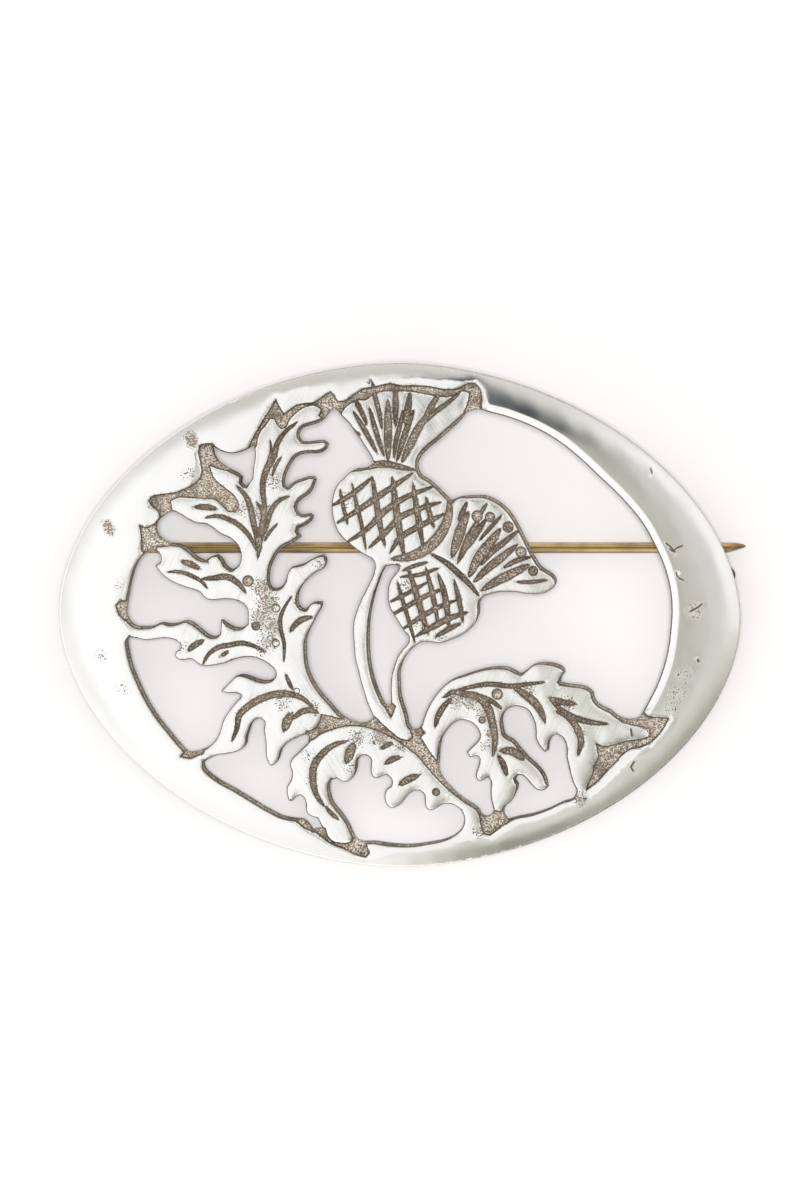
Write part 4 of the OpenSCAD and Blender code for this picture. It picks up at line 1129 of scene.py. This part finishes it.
class BROOCH_OT_catch(bpy.types.Operator):
    """Makes the open catch: a strip curled round the pin, on a soldered pad"""

    bl_idname = "brooch.catch"
    bl_label = "Open Catch"

    def execute(self, context):
        axis_y, axis_z = PIN_Y + CATCH_SIDE, -PIN_DROP
        inner = CATCH_X - CATCH_W / 2
        half_t, half_w = CATCH_T / 2, STRIP_W / 2
        strip_x = inner + half_w
        across, thick = rounded_box(half_w - STRIP_BEVEL, half_t - STRIP_BEVEL, STRIP_BEVEL, 5).T
        rings = []
        # the strip's free lip is rounded off
        lip = [(CATCH_LIP + 0.01, 0.95, 0.75)]
        for degrees, narrow, thin in lip + [(turn, 1, 1) for turn in np.linspace(CATCH_LIP, 90, 40)]:
            t = math.radians(degrees)
            x, r = strip_x + across * narrow, CATCH_R + half_t + thick * thin
            rings.append(np.stack([x, axis_y + r * math.cos(t), axis_z + r * math.sin(t)], 1))
        foot = rounded_box(half_w - 0.02, STEM_HALF, 0, 1) + (strip_x, axis_y)
        stem = [at_level(foot, z) for z in (axis_z + CATCH_R + 0.01, -0.2)]
        # the pad's outer end follows the plate's edge, and shows past it a little below the pin
        rim = oval(1440)[:180]
        pad = []
        for z, grow in PAD_ROWS:
            y = np.linspace(PIN_Y - PAD_BELOW - grow, PIN_Y + PAD_ABOVE + grow, 24)
            share = np.clip((y - PIN_Y + PAD_PAST_FROM) / PAD_PAST_LONG, 0, 1)
            past = PAD_PAST * np.sin(share * math.pi) ** 0.7
            edge = np.interp(y, rim[:, 1], rim[:, 0]) - 0.3 + past
            outer = np.minimum(edge, CATCH_X + CATCH_W / 2 + 0.1) + grow
            ring = np.concatenate([[[inner - grow, y[-1]], [inner - grow, y[0]]], np.stack([outer, y], 1)])
            pad.append(at_level(ring, z))
        solder = solder_fillet((strip_x, axis_y), half_w - STRIP_BEVEL, STEM_HALF, PAD_ROWS[0][0], 0.2)
        parts = [lofted(rings), lofted(stem), lofted(pad), solder]
        piece = new_piece("catch", parts, "brooch", "silver")
        # the solder and its pad are dark with tarnish
        coats = (0.12, 0.12, 0.5, 0.3)
        paint(piece, "oxide_and_shade", np.concatenate([np.full(len(v), coat) for (v, _), coat in zip(parts, coats)]))
        return {"FINISHED"}


class BROOCH_OT_pin(bpy.types.Operator):
    """Makes the brass pin with its knuckle, which swings on the rivet"""

    bl_idname = "brooch.pin"
    bl_label = "Brass Pin"

    def execute(self, context):
        # the wire's place along the pin and its radius, from the knuckle to the point
        rows = [(HINGE_X + 0.6, 0.72), (HINGE_X + 1.05, 0.7), (HINGE_X + 1.7, 0.6), (-26.9, PIN_R)]
        rows += [(x, PIN_R) for x in np.linspace(-24, 31.5, 30)]
        rows += [(32.4, 0.51), (33.0, 0.47), (33.5, 0.40), (34.0, 0.30), (34.4, 0.2), (TIP_X - 0.05, 0.11),
                 (TIP_X, 0.03)]
        # the wire has a shallow lengthwise groove on top and underneath, and its point is filed to one side
        side, up = circle(64).T
        groove = np.exp(-(np.degrees(np.arccos(np.abs(up))) / GROOVE_ANGLE) ** 2)
        flank = np.maximum(ease(side, 0.85, 0.98), ease(-side, 0.72, 0.9))
        rings, grime_and_shade = [], []
        for x, radius in rows:
            on = ease(x, -27.5, -26) * (1 - ease(x, 33, 34))
            filed = ease(x, 32.6, 34.3)
            r = radius - GROOVE_DEPTH * groove * on
            rings.append(np.stack([np.full(len(r), x), PIN_Y + POINT_SIDE * filed + r * side,
                                   -PIN_DROP + r * up], 1))
            # painted shade: a dark reflection along the groove and shade along the wire's sides, wider on
            # the lower side; the filed point is darker too
            grime_and_shade.append(np.maximum(np.maximum(groove * on, flank) * 0.85, 0.7 * filed))
        half = KNUCKLE_W / 2
        outer = [(-half + KNUCKLE_ROUND * (1 - math.cos(t)), KNUCKLE_R - KNUCKLE_ROUND * (1 - math.sin(t)))
                 for t in np.linspace(0, math.pi / 2, 5)]
        outer += [(-y, r) for y, r in outer[::-1]]
        knuckle = turned(outer + [(half, BORE_R), (-half, BORE_R)], HINGE_POINT, looped=True)
        piece = new_piece("pin", [lofted(rings), knuckle], "pin", "brass")
        paint(piece, "grime_and_shade", np.append(np.concatenate(grime_and_shade), np.full(len(knuckle[0]), 0.3)))
        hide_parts("pin_stem")
        return {"FINISHED"}


class BROOCH_OT_stage(bpy.types.Operator):
    """Sets the floor, the soft studio light and the camera"""

    bl_idname = "brooch.stage"
    bl_label = "Stage"

    def execute(self, context):
        scene = context.scene
        look = scene.brooch_look
        # matt white paper, whose fibres are 0.8 mm apart
        paper, node = new_material("white_paper")
        place = node("TexCoord", out="Object")
        fibre = node("TexNoise", {"Vector": place, "Scale": per_mm(0.8), "Detail": 4})
        node("OutputMaterial", [node("BsdfPrincipled", {
            "Base Color": (*look.floor_colour, 1), "Roughness": 0.8,
            "Normal": node("Bump", {"Height": fibre, "Strength": 0.05, "Distance": 0.05 * MM})})])
        mesh = bpy.data.meshes.new("floor")
        mesh.from_pydata([(-3, -3, 0), (3, -3, 0), (3, 3, 0), (-3, 3, 0)], [], [(0, 1, 2, 3)])
        mesh.materials.append(paper)
        floor = put("floor", mesh)
        scene.world = studio_light()
        lamp = bpy.data.lights.new("overhead_lamp", "SUN")
        lamp.energy = look.lamp_strength
        lamp.angle = math.radians(14)
        overhead = put("overhead_lamp", lamp)
        overhead.rotation_euler = (LIE_TURN, 0, 0)
        overhead.visible_glossy = False
        # the camera looks square at the plate, which leans back a little as it lies
        lens = bpy.data.cameras.new("camera")
        lens.sensor_fit = "VERTICAL"
        lens.sensor_height = 36
        lens.lens = lens.sensor_height * look.camera_height / look.view_height
        lens.clip_start = 0.01
        lens.clip_end = 20
        camera = put("camera", lens)
        camera.location = laid_down([[0, VIEW_MIDDLE, FACE_LEVEL + look.camera_height / MM]])[0]
        camera.rotation_euler = (LIE_TURN, 0, 0)
        scene.camera = camera
        scene.view_settings.view_transform = "Standard"
        return {"FINISHED"}


class BROOCH_PT_panel(bpy.types.Panel):
    """Lists the pieces of the brooch"""

    bl_idname = "BROOCH_PT_panel"
    bl_label = "Plaid Brooch"
    bl_space_type = "VIEW_3D"
    bl_region_type = "UI"
    bl_category = "Brooch"

    def draw(self, context):
        for name in BroochLook.__annotations__:
            self.layout.prop(context.scene.brooch_look, name)
        for operator in OPERATORS:
            self.layout.operator(operator.bl_idname)


OPERATORS = (BROOCH_OT_plate, BROOCH_OT_hinge, BROOCH_OT_catch, BROOCH_OT_pin, BROOCH_OT_stage)
CLASSES = (BroochLook,) + OPERATORS + (BROOCH_PT_panel,)


def register():
    for cls in CLASSES:
        bpy.utils.register_class(cls)
    bpy.types.Scene.brooch_look = bpy.props.PointerProperty(type=BroochLook)


def unregister():
    del bpy.types.Scene.brooch_look
    for cls in reversed(CLASSES):
        bpy.utils.unregister_class(cls)


def main():
    register()
    bpy.ops.brooch.plate()
    bpy.ops.brooch.hinge()
    bpy.ops.brooch.catch()
    bpy.ops.brooch.pin()
    bpy.ops.brooch.stage()


if __name__ == "__main__":
    main()
